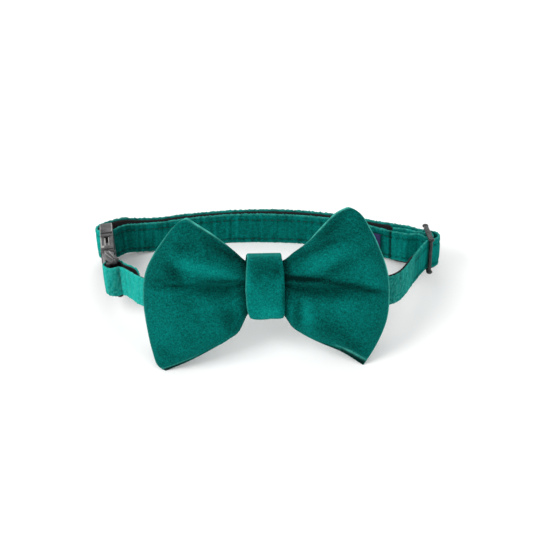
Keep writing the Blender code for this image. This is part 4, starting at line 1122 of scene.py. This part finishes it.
BUCKLE_BARS = 25.6 * MM       # between the two strap bars
BUTTON_START = 18.9 * MM
BUTTON_END = 27.2 * MM
BUTTON_HOOK = 3.0 * MM        # how far the buttons' ends curve towards the neck
BUTTON_SIDE = 7.7 * MM        # from the plug's middle to its buttons, its cheeks and its bar's ends
CHEEK_SIDE = 6.0 * MM
BAR_END = 6.5 * MM
PLUG_LOW_SIDE = -6.4 * MM     # below this place the plug is drawn flatter, by this share
PLUG_LOW_SHARE = 0.45
RIDGES = 15                   # ridges along each button, pale as a painted highlight
RIDGE_START = 19.8 * MM
RIDGE_STEP = 0.5 * MM
RIDGE_MIDDLE = 23.25 * MM
RIDGE_HALF = 4.2 * MM
RIDGE_RISE = 1.2 * MM         # of the middle ridge over the buckle's side
RIDGE_REACH = 2.1 * MM        # its half length
OUTER_RIDGE = Vector((0.75 * MM, 0.42 * MM, 0.42 * MM))
INNER_RIDGE = Vector((0.75 * MM, 0.30 * MM, 0.25 * MM))


def hooked(place):
    """A place of the plug, in the buckle's frame, with its cheeks and buttons curved towards the neck."""
    share = min(max((place.x - BUTTON_START) / (BUTTON_END - BUTTON_START), 0), 1.1)
    on_bar = math.hypot(place.x - BUCKLE_BARS, place.y) < 1.0 * MM and abs(place.z) < BAR_END
    from_middle = abs(place.z)
    outside = 0.0 if on_bar else float(eased(CHEEK_SIDE - 0.2 * MM, CHEEK_SIDE + 0.2 * MM, from_middle))
    button = float(eased(BUTTON_SIDE - 0.5 * MM, BUTTON_SIDE + 0.5 * MM, from_middle))
    bend = share ** 1.6 * outside
    place.y = place.y * (1 - 0.6 * bend) + (0.85 + 0.15 * button) * BUTTON_HOOK * bend
    if place.z < PLUG_LOW_SIDE:
        place.z = PLUG_LOW_SIDE + (place.z - PLUG_LOW_SIDE) * PLUG_LOW_SHARE
    return place


plug = moulded_copy("buckle_plug")
to_buckle = BUCKLE.inverted()
for vert in plug.verts:
    vert.co = BUCKLE @ hooked(to_buckle @ vert.co)
for sign in (1, -1):
    for step in range(RIDGES):
        along = RIDGE_START + step * RIDGE_STEP
        bulge = math.sqrt(max(1 - ((along - RIDGE_MIDDLE) / RIDGE_HALF) ** 2, 0.05))
        crest = BUCKLE_SIDE + RIDGE_RISE * bulge
        half = RIDGE_REACH * bulge
        ridge = hooked(Vector((along, -0.72 * half, sign * (crest - 0.32 * MM))))
        add_knob(painted_light, BUCKLE, ridge, OUTER_RIDGE)
        if 2 < step < RIDGES - 3:
            ridge = hooked(Vector((along, 0.12 * half, sign * crest)))
            add_knob(painted_light, BUCKLE, ridge, INNER_RIDGE)
    knob = hooked(Vector((26.6 * MM, 0.4 * MM, sign * 8.0 * MM)))
    add_knob(plug, BUCKLE, knob, (2.7 * MM, 2.6 * MM, 2.2 * MM if sign > 0 else 1.2 * MM))
moulded_piece(plug, "buckle_plug_moulding", buckle_grey, "buckle_plug")
piece(painted_light, "buckle_highlight_edges", buckle_highlight)

# Slider: three bars between two rails, moulded in one from black plastic, thickened where they meet.
SLIDER_TURN = math.radians(101)
SLIDER_LEAN = math.radians(3)
SLIDER_PITCH = 5.45 * MM
SLIDER_RAIL_MIDDLE = 6.8 * MM
SLIDER_KNOB = Vector((2.3 * MM, 2.35 * MM, 1.35 * MM))
slider_black = surface_material("slider_black", plastic, {"Body": (0.006, 0.0065, 0.0065, 1),
                                                          "Scuff": (0.028, 0.030, 0.030, 1),
                                                          "Gloss": 0.18},
                                bump=0.12, depth=0.0001, specular=0.35)
slider = moulded_copy("slider")
SLIDER = moulding_frame("slider", SLIDER_TURN, Vector((math.tan(SLIDER_LEAN), 0, 1)), 0.0)
slider_middle = max((SLIDER.inverted() @ vert.co).x for vert in slider.verts) / 2
for sign in (1, -1):
    for bar in (-1, 0, 1):
        add_knob(slider, SLIDER, (slider_middle + bar * SLIDER_PITCH, 0, sign * SLIDER_RAIL_MIDDLE),
                 SLIDER_KNOB)
moulded_piece(slider, "slider_moulding", slider_black, "slider")

# Table and light: a pale matt top under soft studio light that is stronger from the left.
floor_builder = bmesh.new()
bmesh.ops.create_grid(floor_builder, x_segments=1, y_segments=1, size=1.5)
floor_mesh = bpy.data.meshes.new("table_top")
floor_builder.to_mesh(floor_mesh)
floor_builder.free()
table = bpy.data.objects.new("table_top", floor_mesh)
bpy.context.scene.collection.objects.link(table)
table_white = bpy.data.materials.new("table_white")
table_white.use_nodes = True
matt = table_white.node_tree.nodes["Principled BSDF"]
matt.inputs["Base Color"].default_value = (0.9, 0.9, 0.9, 1)
matt.inputs["Roughness"].default_value = 0.9
floor_mesh.materials.append(table_white)

world = bpy.data.worlds.new("studio")
world.use_nodes = True
sky = world.node_tree.nodes["Background"]
sky.inputs["Color"].default_value = (1.0, 1.0, 1.0, 1)
sky.inputs["Strength"].default_value = 0.9
bpy.context.scene.world = world


def softbox(name, place, aim, size, watts):
    """Square area light that looks at a place."""
    data = bpy.data.lights.new(name, "AREA")
    data.shape = "SQUARE"
    data.size = size
    data.energy = watts
    made = bpy.data.objects.new(name, data)
    made.location = place
    made.rotation_euler = (Vector(aim) - Vector(place)).to_track_quat("-Z", "Y").to_euler()
    bpy.context.scene.collection.objects.link(made)


softbox("key_left", (-0.55, -0.25, 0.60), (0, 0, 0.02), 0.45, 4.0)
softbox("fill_right", (0.6, -0.5, 0.45), (0, 0, 0.02), 0.5, 1.0)
softbox("rear_top", (0.1, 0.6, 0.6), (0, 0, 0.02), 0.5, 1.5)
